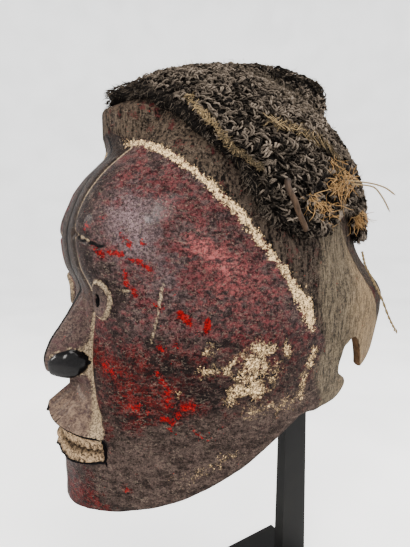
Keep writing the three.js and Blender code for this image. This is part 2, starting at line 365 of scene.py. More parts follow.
def face_y(x, z):
    """The front of the face: its plane, the nose and the mouth."""
    side = np.abs(x)
    across = np.minimum(side / through(z, NOSE_HALF), 1)
    nose = through(z, NOSE_LENGTH) * (1 - across**1.8) ** 0.9
    low, high = through(side, LOWER_LIP), through(side, LIP_EDGE)
    spread = np.minimum(side / (MOUTH_HALF * 1.16), 1)
    mouth = through((z - low) / (high - low), MUZZLE) * (1 - spread**2.6)
    return through(z, FACE) - nose - mouth


def plain_face_y(x, z):
    return through(z, FACE)


def head(p, face=face_y):
    """Below nought inside the head, and about 1 more for each millimetre out."""
    x, y, z = p.T
    front = y < SECTION_Y
    power = np.where(front, through(z, ROUND_FRONT), through(z, ROUND_BACK))
    depth = np.where(front, SECTION_Y - face(x, z), through(z, BACK) - SECTION_Y)
    across = np.abs(x) / through(z, HALF_WIDTH)
    level = (across**power + (np.abs(y - SECTION_Y) / depth) ** power) ** (1 / power)
    rise = np.maximum((z - CROWN_START) / CROWN_RISE, 0)
    return ((level**2.4 + rise**2.4) ** (1 / 2.4) - 1) * LEVEL_SCALE


def plain_head(p):
    return head(p, plain_face_y)


def wood(p):
    x, y, z = p.T
    b = FOREHEAD_BLOCK
    oval = np.hypot(x / b["half_width"], (y - b["y"]) / b["half_depth"])
    block = np.maximum(np.maximum((oval - 1) * 36, z - b["top"]), b["bottom"] - z)
    return melt(head(p), block, 4.0)


print("head at the eyes:", round(float(2 * through(EYE_LEVEL, HALF_WIDTH)), 1), "mm wide")

# %% [markdown]
# ## Cutting a mesh from a form
#
# Every point of the shell can be seen from one place inside the head, so a
# direction is enough to name it. The distance is found by halving: a point is
# either inside the form or outside it. Directions are crowded where the carving
# is fine, at the mouth and the nose, and at the notches of the worn edge.


# %% Directions and distances
def directions(pole, turn, angle):
    """Unit directions, from degrees round the pole and degrees away from it."""
    pole, turn, angle = math.radians(pole), np.radians(turn), np.radians(angle)
    up = np.array([0, -math.cos(pole), math.sin(pole)])
    down = np.array([0, -math.sin(pole), -math.cos(pole)])
    level = np.sin(turn)[..., None] * np.array([1.0, 0, 0]) + np.cos(turn)[..., None] * down
    return np.cos(angle)[..., None] * up + np.sin(angle)[..., None] * level


NEAREST = 10.0
FARTHEST = 260.0
HALVINGS = 22


def reach(form, d):
    """The distance from HEAD to the surface of a form along each direction."""
    near = np.full(len(d), NEAREST)
    far = np.full(len(d), FARTHEST)
    for _ in range(HALVINGS):
        middle = (near + far) / 2
        inside = form(HEAD + d * middle[:, None]) < 0
        near = np.where(inside, middle, near)
        far = np.where(inside, far, middle)
    return near


# %% Outward lines and spacing
TINY = 1e-9
SPACING_STEPS = 4001


def unit(v, least=0.0):
    """The same directions with a length of 1. TINY as `least` guards against no length at all."""
    return v / (np.linalg.norm(v, axis=-1, keepdims=True) + least)


def columns(*values):
    """Several numbers for each point, side by side."""
    return np.stack(values, axis=1)


def outward(form, p, step=0.4):
    """The direction straight out of a form at points on its surface."""
    return unit(columns(*[form(p + s) - form(p - s) for s in np.eye(3) * step]))


def spaced(start, end, count, crowded):
    """`count` values from start to end, closer together near each (value, half width, weight)."""
    fine = np.linspace(start, end, SPACING_STEPS)
    weight = sum((w * bell(fine - at, half) for at, half, w in crowded), np.ones(len(fine)))
    total = np.concatenate([[0], np.cumsum((weight[1:] + weight[:-1]) / 2)])
    return np.interp(np.linspace(0, total[-1], count), total, fine)


# %% Clouds of numbers
def cloud(p, size, seed):
    """Soft random numbers from -1 to 1, with lumps of about `size` millimetres.

    Space is split into cells. Each corner's number comes from its own place, whose bits the
    large odd numbers stir, so it is the same in every run.
    """
    q = p / size + seed * 17.31
    cell = np.floor(q).astype(np.int64)
    t = q - cell
    t = t * t * (3 - 2 * t)
    total = np.zeros(len(p))
    for corner in itertools.product((0, 1), repeat=3):
        c = cell + np.array(corner)
        h = (c[:, 0] * 73856093) ^ (c[:, 1] * 19349663) ^ (c[:, 2] * 83492791)
        h = ((h ^ (h >> 13)) * 1274126177) & 0x7FFFFFFF
        h = ((h ^ (h >> 16)) * 668265263) & 0x7FFFFFFF
        weight = np.prod(np.where(corner, t, 1 - t), axis=1)
        total += weight * (h / 0x3FFFFFFF - 1)
    return total


# %% A mesh with fields
def in_metres(points):
    """From head millimetres, whose Y starts at the bar, to the scene's metres."""
    return (points + np.array([0, BAR_BEHIND, 0])) * MM


def piece(name, points, faces, fields):
    """An object from points in head millimetres; each field gives three numbers a point."""
    mesh = bpy.data.meshes.new(name)
    mesh.from_pydata(in_metres(points).tolist(), [], faces)
    for key, values in fields.items():
        layer = mesh.color_attributes.new(key, "FLOAT_COLOR", "POINT")
        four = np.concatenate([values, np.ones((len(values), 1))], axis=1)
        layer.data.foreach_set("color", four.astype(np.float32).ravel())
    mesh.shade_smooth()
    made = bpy.data.objects.new(name, mesh)
    bpy.context.scene.collection.objects.link(made)
    triangles = sum(len(f.vertices) - 2 for f in mesh.polygons)
    print(name, len(points), "points", triangles, "triangles")
    return made


# %% [markdown]
# ## The carving
#
# The real mask was cut with an adze and a knife, and then painted. Here each
# cut is a height over the smooth head, in millimetres. The eye is an oval with
# a rim and a slit, the nostril an almond, and the teeth are two saw-edged rows
# that nearly meet.

# %% Places on the face
HAIRLINE_Z = 179.3
HAIRLINE_SLOPE = 1.24
CREASE = [(205, 30), (225, 20), (250, 15), (282, 17), (300, 15), (320, 14), (334, 12), (344, 14), (356, 16),
          (369, 21)]
EYE = {"x": 27.6, "z": EYE_LEVEL, "half_width": 6.2, "half_height": 11.5}
NOSTRIL = {"y": -192.5, "z": 244.5, "half_length": 10.5, "half_height": 8.5}
BROW_CUT = [(12, 320.5), (22, 318), (34, 313.5)]
TOOTH = 3.1


def face_places(p):
    """Named distances on the face, in millimetres, for carving and for paint."""
    x, y, z = p.T
    side = np.abs(x)
    low, high = through(side, LOWER_LIP), through(side, LIP_EDGE)
    nose_u = (y - NOSTRIL["y"]) / NOSTRIL["half_length"]
    nose_v = (z - NOSTRIL["z"] - 0.12 * (y - NOSTRIL["y"])) / NOSTRIL["half_height"]
    saw = np.abs(side / TOOTH - np.round(side / TOOTH)) * 2
    share = (z - low) / (high - low)
    return {
        "side": side,
        "facing": ease(-120, -165, y),
        "crease": side - through(z, CREASE),
        "above": (z - HAIRLINE_Z + HAIRLINE_SLOPE * y) / math.hypot(1, HAIRLINE_SLOPE),
        "eye": np.hypot((side - EYE["x"]) / EYE["half_width"], (z - EYE["z"]) / EYE["half_height"]),
        "nostril": 1 - nose_u**2 - nose_v**2 - 3 * ease(17, 19, side) - 3 * ease(4, 2.5, side),
        "mouth": share,
        "in_mouth": ease(MOUTH_HALF + 2, MOUTH_HALF - 1, side) * ease(-0.02, 0.04, share)
        * ease(1.0, 0.97, share) * ease(-150, -165, y),
        "saw": saw,
        "bite": share - (0.5 + 0.1 * (saw - 0.5)),
        "lip_line": z - high,
        "low_line": z - low,
    }


# %% Heights of the carving
def carving(p, f):
    """Heights of the cuts and swellings, in millimetres."""
    x, _, z = p.T
    side, facing = f["side"], f["facing"]
    h = 2.5 * bell(side - 25, 15) * bell(z - 322, 34) * facing
    h -= 0.4 * bell(x, 2.2) * ease(262, 290, z) * ease(372, 350, z) * facing
    crease = 2.6 * ease(292, 272, z) + 0.7
    h -= crease * bell(f["crease"], 2.4) * ease(200, 215, z) * ease(372, 360, z) * facing
    mound = np.sqrt(np.maximum(1 - f["eye"] ** 2, 0)) * facing
    rim = 0.8 * bell(f["eye"] - 0.88, 0.13) - 1.1 * bell(f["eye"], 0.6)
    slit = np.hypot((side - EYE["x"] + 1.4) / 1.6, (z - EYE["z"] + 0.5) / 3.6)
    h += 4.3 * mound + (rim - 2.4 * ease(1.25, 0.75, slit)) * facing * ease(1.15, 0.95, f["eye"])
    cut = z - through(side, BROW_CUT)
    h -= 1.8 * bell(cut, 1.4) * ease(9.5, 12, side) * ease(38, 28, side) * facing
    w = f["nostril"]
    h += (2.6 * np.sqrt(np.maximum(w, 0)) - 1.1 * bell(w + 0.12, 0.14)) * facing
    bite = bell(f["bite"], 0.065) * 2.6 + bell(f["saw"] - 1, 0.3) * 0.7 * ease(0.02, 0.12, np.abs(f["bite"]))
    h -= bite * f["in_mouth"]
    corner = np.hypot((side - MOUTH_HALF - 1) / 1.1, (z - 196.5) / 8.0)
    h -= 2.2 * ease(1.2, 0.5, corner) * facing
    h -= 0.8 * bell(f["low_line"] + 1.2, 1.2) * ease(MOUTH_HALF + 1, MOUTH_HALF - 3, side) * facing
    return h


def band(p, f):
    """The raised band behind the hairline, with a step at its rear, and the chalk's groove."""
    y, above = p[:, 1], f["above"]
    width = 16 * ease(-70, -84, y)
    behind = np.where(y < -100, 1.0, ease(width + 1.6, width - 1.6, above))
    wavy = above + 0.8 * cloud(p, 14, 3) + 0.5 * cloud(p, 4, 4)
    return (3.4 * ease(-1.0, 3.2, wavy) * behind + 0.6 * bell(wavy + 0.5, 1.6)) * ease(-69, -76, y)


# %% [markdown]
# ## The mask's mesh
#
# The outside is a grid of directions moved out to the head and then along the
# surface's own outward line by the carving. The inside follows the plain head,
# one wall's thickness in, and shows the marks of the adze. Along the worn edge
# the two are joined by a rounded rim.

# %% The edge of the shell
MASK_POLE = 72.0
MASK_EDGE = [
    # degrees round the pole, degrees from the pole
    (0, 122.7), (8, 124.2), (18, 126.9), (29, 130), (41, 132.2), (54, 133.3), (79, 133.0),
    (83.5, 133.9), (88.3, 135.3), (93.1, 135.9), (98, 136.7), (100.5, 137.0), (102, 136.8),
    (103.1, 136.2), (103.9, 135.2), (104.5, 133.6), (105.0, 131.8), (105.4, 130.6), (105.8, 129.2),
    (106.6, 127.2), (109, 124.4), (112, 121.6), (117.7, 120.3), (119.5, 120.5), (121.8, 122.1),
    (123.2, 124.2), (124.7, 128.2), (125.6, 130.6), (128.4, 133.2), (131.4, 134.0), (133.5, 132.9),
    (137, 131.0), (140.6, 129.7), (143, 127.8), (144.6, 125), (145.5, 122.4), (147.2, 118.5),
    (149, 113.5), (152, 105), (159, 97), (180, 90),
]
HORN_LEAN = [  # degrees round the pole, degrees of lean at the tip
    (98, 0), (100.5, 1.5), (102, 4), (103.1, 6.0), (103.9, 7.2), (104.5, 6.8), (105.0, 4.2),
    (105.4, 1.4), (105.8, 0), (107, 0),
]
HORN_ROOT = 128.5
print("worn edge:", min(edge for _, edge in MASK_EDGE), "to", max(edge for _, edge in MASK_EDGE), "degrees")


def mask_edge(turn):
    """Degrees from the pole at which the wood ends, with two notches at each side."""
    degrees = np.abs(turn)
    edge = through(degrees, MASK_EDGE)
    ring = columns(turn, turn * 0, turn * 0)
    broken = 0.12 + 0.88 * ease(95, 110, degrees)
    return edge + broken * (0.5 * cloud(ring, 5, 8) + 0.35 * cloud(ring, 2, 9))


def shell_angles(rings, limit):
    """Degrees from the pole for every ring, from the pole to the edge."""
    front = mask_edge(np.zeros(1))[0]
    share = rings[None, :] / rings[-1]
    return front * share + (limit[:, None] - front) * ease(0.5, 1, share)


def leaning(turn, angles, limit):
    """Turns for every ring. Below the notch the lines lean over, out to the small horn's tip."""
    share = np.clip((angles - HORN_ROOT) / np.maximum(limit[:, None] - HORN_ROOT, 0.1), 0, 1)
    lean = np.sign(turn) * through(np.abs(turn), HORN_LEAN)
    return turn[:, None] + lean[:, None] * share**3


def finer(turn, start, end):
    """The same turns, with two more after each one whose size is from start to end."""
    at = np.arange(len(turn))
    inner = np.nonzero((np.abs(turn) > start) & (np.abs(turn) < end))[0]
    return np.interp(np.sort(np.concatenate([at, inner + 1 / 3, inner + 2 / 3])), at, turn)


# %% Outside and inside
FRONT_EDGE = 123
CROWDED_TURNS = [(0, 17, 3.2), (0, 45, 0.9), (-118, 13, 0.9), (118, 13, 0.9)]
CROWDED_RINGS = [(104, 13, 2.3), (76, 9, 0.7)]
TURN = finer(spaced(-180, 180, 401, CROWDED_TURNS)[:-1], 98, 107)
RINGS = spaced(0, FRONT_EDGE, 190, CROWDED_RINGS)
INNER_RINGS = spaced(0, FRONT_EDGE, 32, [(121, 3, 5.0)])


def shell_directions(rings):
    limit = mask_edge(TURN)
    angles = shell_angles(rings, limit)
    turn = leaning(TURN, angles, limit)
    return directions(MASK_POLE, turn.ravel(), angles.ravel())


def mask_outside():
    """The carved surface, and the places on the face that the paint needs again."""
    d = shell_directions(RINGS)
    p = HEAD + d * reach(wood, d)[:, None]
    out = outward(wood, p)
    f = face_places(p)
    adze = 0.28 * cloud(p, 11, 1) + 0.12 * cloud(p, 3.5, 2)
    h = carving(p, f) + band(p, f) + adze
    return p + out * h[:, None], f


def mask_inside():
    """The hollow: one wall's thickness inside the plain head, with the adze's hollows."""
    d = shell_directions(INNER_RINGS)
    share = np.tile(INNER_RINGS / INNER_RINGS[-1], len(TURN))
    thick = WALL - (WALL - WALL_RIM) * ease(0.6, 1, share)
    facets = 0.9 * np.abs(cloud(d * 100, 15, 5)) + 0.3 * cloud(d * 100, 6, 6)
    return HEAD + d * (reach(plain_head, d) - thick + facets * ease(1, 0.9, share))[:, None]


# %% Faces of a thick bowl
def bowl_faces(turns, outer, inner, rim):
    """Faces of a thick bowl: outer grid, inner grid and the rings between their edges."""
    faces = []
    start = turns * outer
    chain = [(0, outer, k) for k in range(outer)] + [(start + turns * inner, rim, k) for k in range(rim)]
    chain += [(start, inner, k) for k in reversed(range(inner))]
    for j in range(turns):
        n = (j + 1) % turns
        for (a, wide_a, k), (b, wide_b, m) in zip(chain, chain[1:]):
            faces.append((a + j * wide_a + k, b + j * wide_b + m, b + n * wide_b + m, a + n * wide_a + k))
    return faces


def closed_poles(points, faces, turns, outer, inner):
    """Makes each pole's ring of equal points into one point."""
    target = np.arange(len(points))
    target[0:turns * outer:outer] = 0
    start = turns * outer
    target[start:start + turns * inner:inner] = start
    kept = []
    for face in faces:
        ring = list(dict.fromkeys(int(target[v]) for v in face))
        if len(ring) > 2:
            kept.append(tuple(ring))
    used = np.unique(np.concatenate([np.array(f) for f in kept]))
    renumber = np.full(len(points), -1)
    renumber[used] = np.arange(len(used))
    return used, [tuple(int(renumber[v]) for v in f) for f in kept]


# %% The two surfaces
outside, on_face = mask_outside()
inside = mask_inside()
print("mask: outside", len(outside), "inside", len(inside), "points")

# %% [markdown]
# ## Where the paints lie
#
# The mesh carries soft masks for the paints, three numbers to a field. The
# shader breaks their edges up with noise, as wear does. The flakes of bright
# red, the clouds of older colour, the chalky crust and the scratches are listed
# strokes, each from one point to another with its own width. Every list
# below gives from, to, half width and strength, in head millimetres.

# %% Marks of paint
RED_FLAKES = [
    ((35, -178, 328), (35, -178, 327), 2.0, 1.0), ((27, -184, 324), (27, -184, 322), 2.4, 0.75),
    ((32, -182, 312), (36, -179, 308), 2.2, 0.95), ((39, -177, 311), (45, -172, 309), 1.8, 0.95),
    ((46, -171, 308), (50, -167, 306), 1.6, 0.8), ((51, -165, 306), (55, -161, 302), 2.0, 1.1),
    ((45, -170, 300), (44, -169, 294), 2.2, 1.0), ((45, -168, 291), (47, -166, 288), 2.3, 0.95),
    ((44, -172, 320), (44, -172, 319), 1.8, 0.8), ((47, -170, 316), (48, -169, 315), 1.8, 0.8),
    ((53, -165, 316), (54, -164, 315), 1.8, 0.85), ((64, -149, 279), (67, -144, 274), 1.9, 1.35),
    ((72, -136, 275), (72, -137, 270), 1.7, 1.35), ((57, -157, 261), (59, -156, 260), 1.9, 1.0),
    ((63, -150, 262), (64, -149, 261), 1.6, 0.8), ((56, -158, 247), (59, -155, 240), 1.7, 0.95),
    ((60, -154, 238), (59, -153, 228), 2.0, 1.05), ((64, -146, 228), (66, -142, 228), 2.6, 1.1),
    ((62, -149, 225), (62, -149, 222), 2.6, 1.0), ((57, -155, 221), (60, -152, 219), 2.4, 0.95),
    ((59, -152, 215), (61, -150, 213), 1.8, 0.6), ((66, -141, 214), (68, -135, 208), 1.5, 0.6),
    ((40, -171, 177), (41, -170, 175), 2.0, 0.8), ((30, -177, 247), (36, -174, 243), 4.0, 0.62),
    ((44, -168, 226), (52, -161, 226), 4.0, 0.55), ((55, -158, 284), (57, -156, 282), 1.6, 0.7),
]
RED_CLOUDS = [
    ((20, -179, 253), (30, -178, 248), 8, 1.0), ((34, -175, 246), (42, -171, 241), 8, 1.0),
    ((43, -169, 230), (57, -157, 231), 9, 1.0), ((47, -167, 256), (52, -163, 250), 8, 0.7),
    ((34, -175, 268), (40, -172, 262), 8, 0.55), ((85, -90, 267), (78, -123, 268), 11, 0.7),
    ((43, -163, 348), (64, -148, 336), 14, 0.75), ((59, -151, 328), (74, -132, 322), 16, 0.55),
    ((71, -140, 307), (76, -128, 288), 22, 0.75), ((9, -191, 164), (28, -182, 162), 10, 0.9),
    ((83, -103, 290), (83, -103, 268), 14, 0.6), ((50, -164, 224), (67, -144, 236), 12, 0.8),
    ((60, -154, 256), (70, -140, 252), 7, 0.6),
]
# Painted highlight: the pink strokes lay a paler pink where the lamps' gloss lies on the cheek.
PINK_HIGHLIGHT = [
    ((70, -142, 317), (77, -127, 304), 7, 0.75), ((76, -128, 291), (79, -121, 297), 12, 0.3),
    ((75, -129, 286), (83, -105, 296), 12, 0.25),
]
# Painted highlight: the violet strokes lay a paler violet where the lamps' gloss lies on the brow.
VIOLET_HIGHLIGHT = [((46, -169, 330), (50, -167, 318), 13, 1.0), ((53, -163, 313), (60, -154, 300), 12, 0.35)]
DARK_PLACES = [
    ((33, -175, 297), (38, -172, 268), 10, 0.7), ((54, -161, 264), (78, -123, 262), 5, 0.6),
    ((59, -155, 251), (68, -143, 250), 9, 0.65), ((67, -144, 240), (73, -131, 234), 9, 0.75),
    ((50, -164, 222), (66, -144, 221), 8, 0.45), ((30, -178, 306), (40, -174, 300), 6, 0.6),
    ((76, -128, 278), (76, -128, 272), 7, 0.35), ((84, -85, 262), (80, -110, 262), 6, 0.4),
]
CRUST = [
    ((81, -110, 259), (83, -102, 256), 4.5, 0.95), ((84, -91, 258), (84, -90, 254), 3.5, 0.9),
    ((80, -114, 251), (81, -107, 248), 7.0, 0.95), ((82, -98, 246), (82, -98, 240), 4.5, 0.7),
    ((78, -117, 244), (80, -110, 238), 6.0, 0.95), ((77, -120, 236), (80, -107, 233), 5.0, 0.95),
    ((76, -121, 233), (75, -124, 230), 4.0, 0.8), ((70, -139, 247), (73, -133, 248), 3.5, 0.75),
    ((72, -136, 257), (73, -134, 261), 3.0, 0.7), ((77, -124, 253), (77, -126, 247), 3.5, 0.7),
    ((84, -68, 251), (84, -72, 243), 3.5, 0.9), ((83, -75, 239), (82, -77, 224), 3.0, 0.8),
    ((62, -150, 236), (63, -149, 234), 2.5, 0.5), ((79, -112, 222), (83, -84, 222), 6.0, 0.45),
    ((60, -153, 180), (72, -121, 196), 5.0, 0.4),
]
SCRATCHES = [
    ((60, -154, 299), (58, -156, 290), 1.0, 0.8), ((58, -156, 290), (56, -157, 277), 1.1, 0.95),
    ((56, -157, 277), (54, -160, 263), 1.3, 0.9), ((35, -176, 289), (44, -168, 290), 1.0, 0.8),
    ((43, -169, 288), (42, -170, 277), 1.0, 0.6),
]


# %% Distance from a stroke
FAR_SIDE_SHIFT = (0, 13, -17)


def near_side(p):
    """Points with the far half of the head folded over to the near half."""
    return columns(np.abs(p[:, 0]), p[:, 1], p[:, 2])


def off_line(p, start, end):
    """The distance of each point from the straight line between two places."""
    start = np.array(start, float)
    along = np.array(end, float) - start
    share = np.clip((p - start) @ along / max(along @ along, TINY), 0, 1)
    return np.linalg.norm(p - start - share[:, None] * along, axis=1)


def marks(p, listed, wider=1.0):
    """The most that any stroke gives at each point. The far side has them too, but moved."""
    here = near_side(p) + (p[:, 0] < 0)[:, None] * np.array(FAR_SIDE_SHIFT)
    total = np.zeros(len(p))
    for start, end, half, amount in listed:
        total = np.maximum(total, amount * bell(off_line(here, start, end), half * wider))
    return total


def greatest(*fields):
    """The greatest of several masks at each point."""
    return np.max(fields, axis=0)


print("flakes:", len(RED_FLAKES), "clouds:", len(RED_CLOUDS), "crust:", len(CRUST), "strokes")


# %% Chalk and black lines
def brow_cut_highlight(p, f):
    """A painted highlight: a pale line along the edge of the brow's cut."""
    cut = p[:, 2] - through(f["side"], BROW_CUT)
    return bell(cut - 0.3, 0.85) * ease(15, 18, f["side"]) * ease(29, 25, f["side"]) * f["facing"]


def pale_lines(p, f):
    """Pale dust in the crease, round the eye and the nostril, and in the scratches, and a painted highlight
    along the brow's cut.
    """
    x, _, z = p.T
    facing = f["facing"]
    crease = bell(f["crease"] - 0.3, 1.2 + 1.7 * ease(285, 262, z))
    crease = crease * ease(198, 208, z) * ease(380, 372, z) * facing
    faint = 0.55 + 0.45 * ease(334, 350, z) + 0.45 * ease(300, 286, z) + 0.3 * cloud(p, 7, 17)
    return greatest(
        crease * faint * (0.6 + 0.4 * ease(-3, 3, x)),
        (0.75 + 0.25 * cloud(p, 3.5, 16)) * bell(f["eye"] - 0.95, 0.13) * facing,
        0.9 * bell(f["nostril"] + 0.20, 0.11) * facing,
        marks(p, SCRATCHES),
        # Painted highlight along the brow's cut; the black lines leave it clear.
        1.2 * brow_cut_highlight(p, f),
    )


def black_lines(p, f):
    """Black on the ridge, the nostril, the lips, the corners and the brow's cut, and painted shade in the
    slit of the eye.
    """
    x, y, z = p.T
    side, facing = f["side"], f["facing"]
    lips = ease(MOUTH_HALF + 2, MOUTH_HALF - 1, side) * ease(-150, -165, y)
    corner = np.hypot((side - MOUTH_HALF - 1 - 1.6 * cloud(p, 4, 14)) / 1.3, (z - 196) / 10.0)
    slit = np.hypot((side - EYE["x"] + 1.4) / 1.8, (z - EYE["z"] + 0.5) / 4.0)
    cut = z - through(side, BROW_CUT)
    inner_end = ease(30, 22, side)
    brow = bell(cut + 0.5 * inner_end, 1.3 + 0.8 * inner_end) * ease(15, 18, side) * ease(44, 32, side)
    return greatest(
        bell(x, 1.7 + 0.5 * ease(300, 280, z)) * ease(238, 246, z) * ease(384, 376, z) * facing,
        ease(-0.1, 0.05, f["nostril"]) * facing,
        bell(f["lip_line"] - 0.7, 1.1) * lips,
        bell(f["low_line"] + 0.2, 1.6) * lips,
        ease(1.2, 0.7, corner) * facing,
        # Painted shade: black in the eye's slit, for the dark of its hole.
        ease(1.2, 0.8, slit) * facing,
        brow * facing,
    ) * (1 - brow_cut_highlight(p, f))


# %% Zones of paint
def jaw_zone(p, f):
    """The tan skin of the jaw, below a wavy slanting line."""
    _, y, z = p.T
    below = ease(228, 208, z - 0.25 * (y + 140) + 7 * cloud(p, 16, 12))
    return below * ease(2, 8, f["crease"] + (z < 200) * 9)


def middle_strip(p, f):
    """The mauve strip between the creases, and the eyes' lids."""
    strip = ease(1.5, -1.0, f["crease"]) * f["facing"] * ease(180, 200, p[:, 2])
    return greatest(strip, 0.9 * ease(1.05, 0.9, f["eye"]) * f["facing"])


def tooth_recess_shade(f):
    """Painted shade in the teeth's hollows: dark at the bite, between two teeth and at the gums."""
    between = 0.7 * bell(f["saw"] - 1, 0.25) * ease(0.34, 0.22, np.abs(f["bite"]))
    gums = 0.55 * greatest(ease(0.14, 0.02, f["mouth"]), ease(0.86, 0.98, f["mouth"]))
    return greatest(bell(f["bite"], 0.11), between, gums) * f["in_mouth"]


# %% Fields of the outside
def outside_fields(p, f):
    """All the soft masks of the outside, three to a field."""
    x, y, z = p.T
    facing, none = f["facing"], 0 * x
    wavy = f["above"] + 1.0 * cloud(p, 15, 3) + 0.6 * cloud(p, 4, 4)
    widths = 1.4 + 2.7 * bell(y + 78, 12) + 1.0 * bell(y + 122, 22)
    chalk = bell(wavy - 0.5, widths) * ease(-66, -74, y) * ease(20, 30, f["side"] + facing * 12)
    rear = ease(-78, -52, y + 8 * cloud(p, 20, 7)) * ease(4, -2, f["above"] - 60)
    rear_end = ease(-45, -5, y + 6 * cloud(p, 16, 13))
    seam = bell(f["crease"] - 7, 9) * ease(285, 300, z) * ease(366, 350, z) * facing * (x > 0)
    red = greatest(marks(p, RED_CLOUDS), 0.8 * marks(p, RED_FLAKES, 2.2))
    dark = greatest(marks(p, DARK_PLACES), seam)
    return {
        "lines": columns(chalk, pale_lines(p, f), black_lines(p, f)),
        "zones": columns(middle_strip(p, f), ease(0.5, 3.5, wavy), rear),
        "flecks": columns(marks(p, RED_FLAKES), marks(p, CRUST), f["in_mouth"]),
        # The pink and violet masks are the places of painted highlights.
        "clouds": columns(red, marks(p, PINK_HIGHLIGHT), marks(p, VIOLET_HIGHLIGHT) * (1 - 0.8 * seam)),
        "tooth_shade_jaw_dark": columns(tooth_recess_shade(f), jaw_zone(p, f), dark),
        "gloss": columns(ease(-0.1, 0.15, f["nostril"]) * facing, none, none),
        "back": columns(none, rear_end, ease(-118, -134, y)),
    }


# %% The mask
RIM = [
    # share of the way inward, millimetres beyond the edge
    (0.2, 0.8), (0.5, 1.2), (0.8, 0.8),
]


def rounded_rim(grid, inner_grid):
    """Rings that round the worn edge, a little beyond the last ring of each side."""
    onward = unit(grid[:, -1] - grid[:, -3])
    rings = [grid[:, -1] * (1 - share) + inner_grid[:, -1] * share + onward * beyond for share, beyond in RIM]
    return columns(*rings)


def build_mask():
    """The whole shell as one closed mesh, with bare wood on its inside and rim."""
    turns, outer, inner, rim = len(TURN), len(RINGS), len(INNER_RINGS), len(RIM)
    edge = rounded_rim(outside.reshape(turns, outer, 3), inside.reshape(turns, inner, 3))
    points = np.concatenate([outside, inside, edge.reshape(-1, 3)])
    faces = bowl_faces(turns, outer, inner, rim)
    fields = outside_fields(outside, on_face)
    bare = np.zeros((len(inside) + turns * rim, 3))
    fields = {key: np.concatenate([value, bare]) for key, value in fields.items()}
    fields["back"][len(outside):, 0] = 1.0
    used, faces = closed_poles(points, faces, turns, outer, inner)
    return piece("mask_carved", points[used], faces, {k: v[used] for k, v in fields.items()})


mask = build_mask()
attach(mask, "root")
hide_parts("mask")

# %% [markdown]
# ## Paint on wood
#
# The finish is built from the wood up. Dark oily paint in maroon and black
# covers the cheeks, and the colours run into each other in blotches. The middle
# strip, the nose and the lip are a pale mauve. Bright red is left in flakes,
# chalk in the grooves, and the bare wood shows at the worn rear edge.


# %% Marks and grains that the paints share
def read_marks(f):
    """The soft masks that the mesh carries, by name."""
    names = {
        "lines": ("chalk", "pale", "black"),
        "zones": ("strip", "behind", "rear"),
        "flecks": ("flakes", "crust", "teeth"),
        "clouds": ("red", "pink", "violet"),
        # gap is the painted shade in the teeth's hollows.
        "tooth_shade_jaw_dark": ("gap", "jaw", "dark"),
        "gloss": ("wet",),
        "back": ("inner", "rear_end", "front"),
    }
    return SimpleNamespace(**{name: tone for key, listed in names.items()
                              for name, tone in zip(listed, f.field(key))})


def grains(f):
    """Noise from coarse to fine. Every paint breaks up its edges with some of it."""
    g = SimpleNamespace()
    g.clumps = f.noise(7, 9, 0.72, f.scaled(1.0, 1.0, 1.4), seed=1.0)
    g.chips = f.noise(3.2, 4, 0.75, seed=17.0)
    g.grit = f.noise(1.5, 5, 0.8, seed=3.0)
    g.speck = f.noise(0.9, 3, 0.7, seed=19.0)
    g.fine = f.noise(0.8, 2, 0.6, seed=5.0)
    g.grain = g.grit * 0.6 + f.noise(4.0, 5, 0.65, f.scaled(1.0, 1.0, 1.3), seed=31.0) * 0.4
    g.mottle = g.grain.rise(0.445, 0.555)
    g.height = f.height()
    g.low = g.height.rise(0.275, 0.245)
    return g


# %% The cheek
def cheek_ground(f, g, m):
    """What lies under the lacquer: grey, brown low down, tan on the jaw, and a pale violet at the brow that
    is a painted highlight.
    """
    ground = f.mix(g.mottle, paint(44, 32, 33), paint(130, 106, 103))
    ground = f.mix(g.low * 0.9, ground, f.mix(g.mottle, paint(12, 8, 8), paint(88, 66, 58)))
    drift = f.noise(16, 6, 0.62, f.scaled(1.0, 1.0, 2.8), seed=41.0)
    smooth = (g.grain * 0.7 + drift * 0.3).rise(0.43, 0.57)
    ground = f.mix(m.jaw * 0.85, ground, f.mix(smooth, paint(52, 41, 38), paint(130, 112, 102)))
    # The pale violet of the painted highlight, with a fine grain.
    satin = (g.grit * 0.6 + g.fine * 0.4).rise(0.42, 0.58)
    return f.mix(m.violet * 0.8, ground, f.mix(satin, paint(78, 60, 64), paint(184, 165, 168)))


def cheek_lacquer(f, g, m):
    """Maroon lacquer, a deeper red low on the cheek, and a paler pink painted as a highlight where the lamps
    shine on it.
    """
    lacquer = f.mix(g.mottle, paint(62, 22, 27), paint(146, 71, 76))
    lacquer = f.mix(g.low * 0.9, lacquer, f.mix(g.mottle, paint(16, 3, 4), paint(100, 16, 18)))
    deep = f.mix(g.mottle, paint(20, 2, 3), paint(138, 9, 11))
    lacquer = f.mix((m.red - 0.25) * (g.low * 1.5 + 0.4), lacquer, deep)
    return f.mix(m.pink * 0.75, lacquer, f.mix(g.mottle, paint(124, 74, 76), paint(212, 154, 150)))


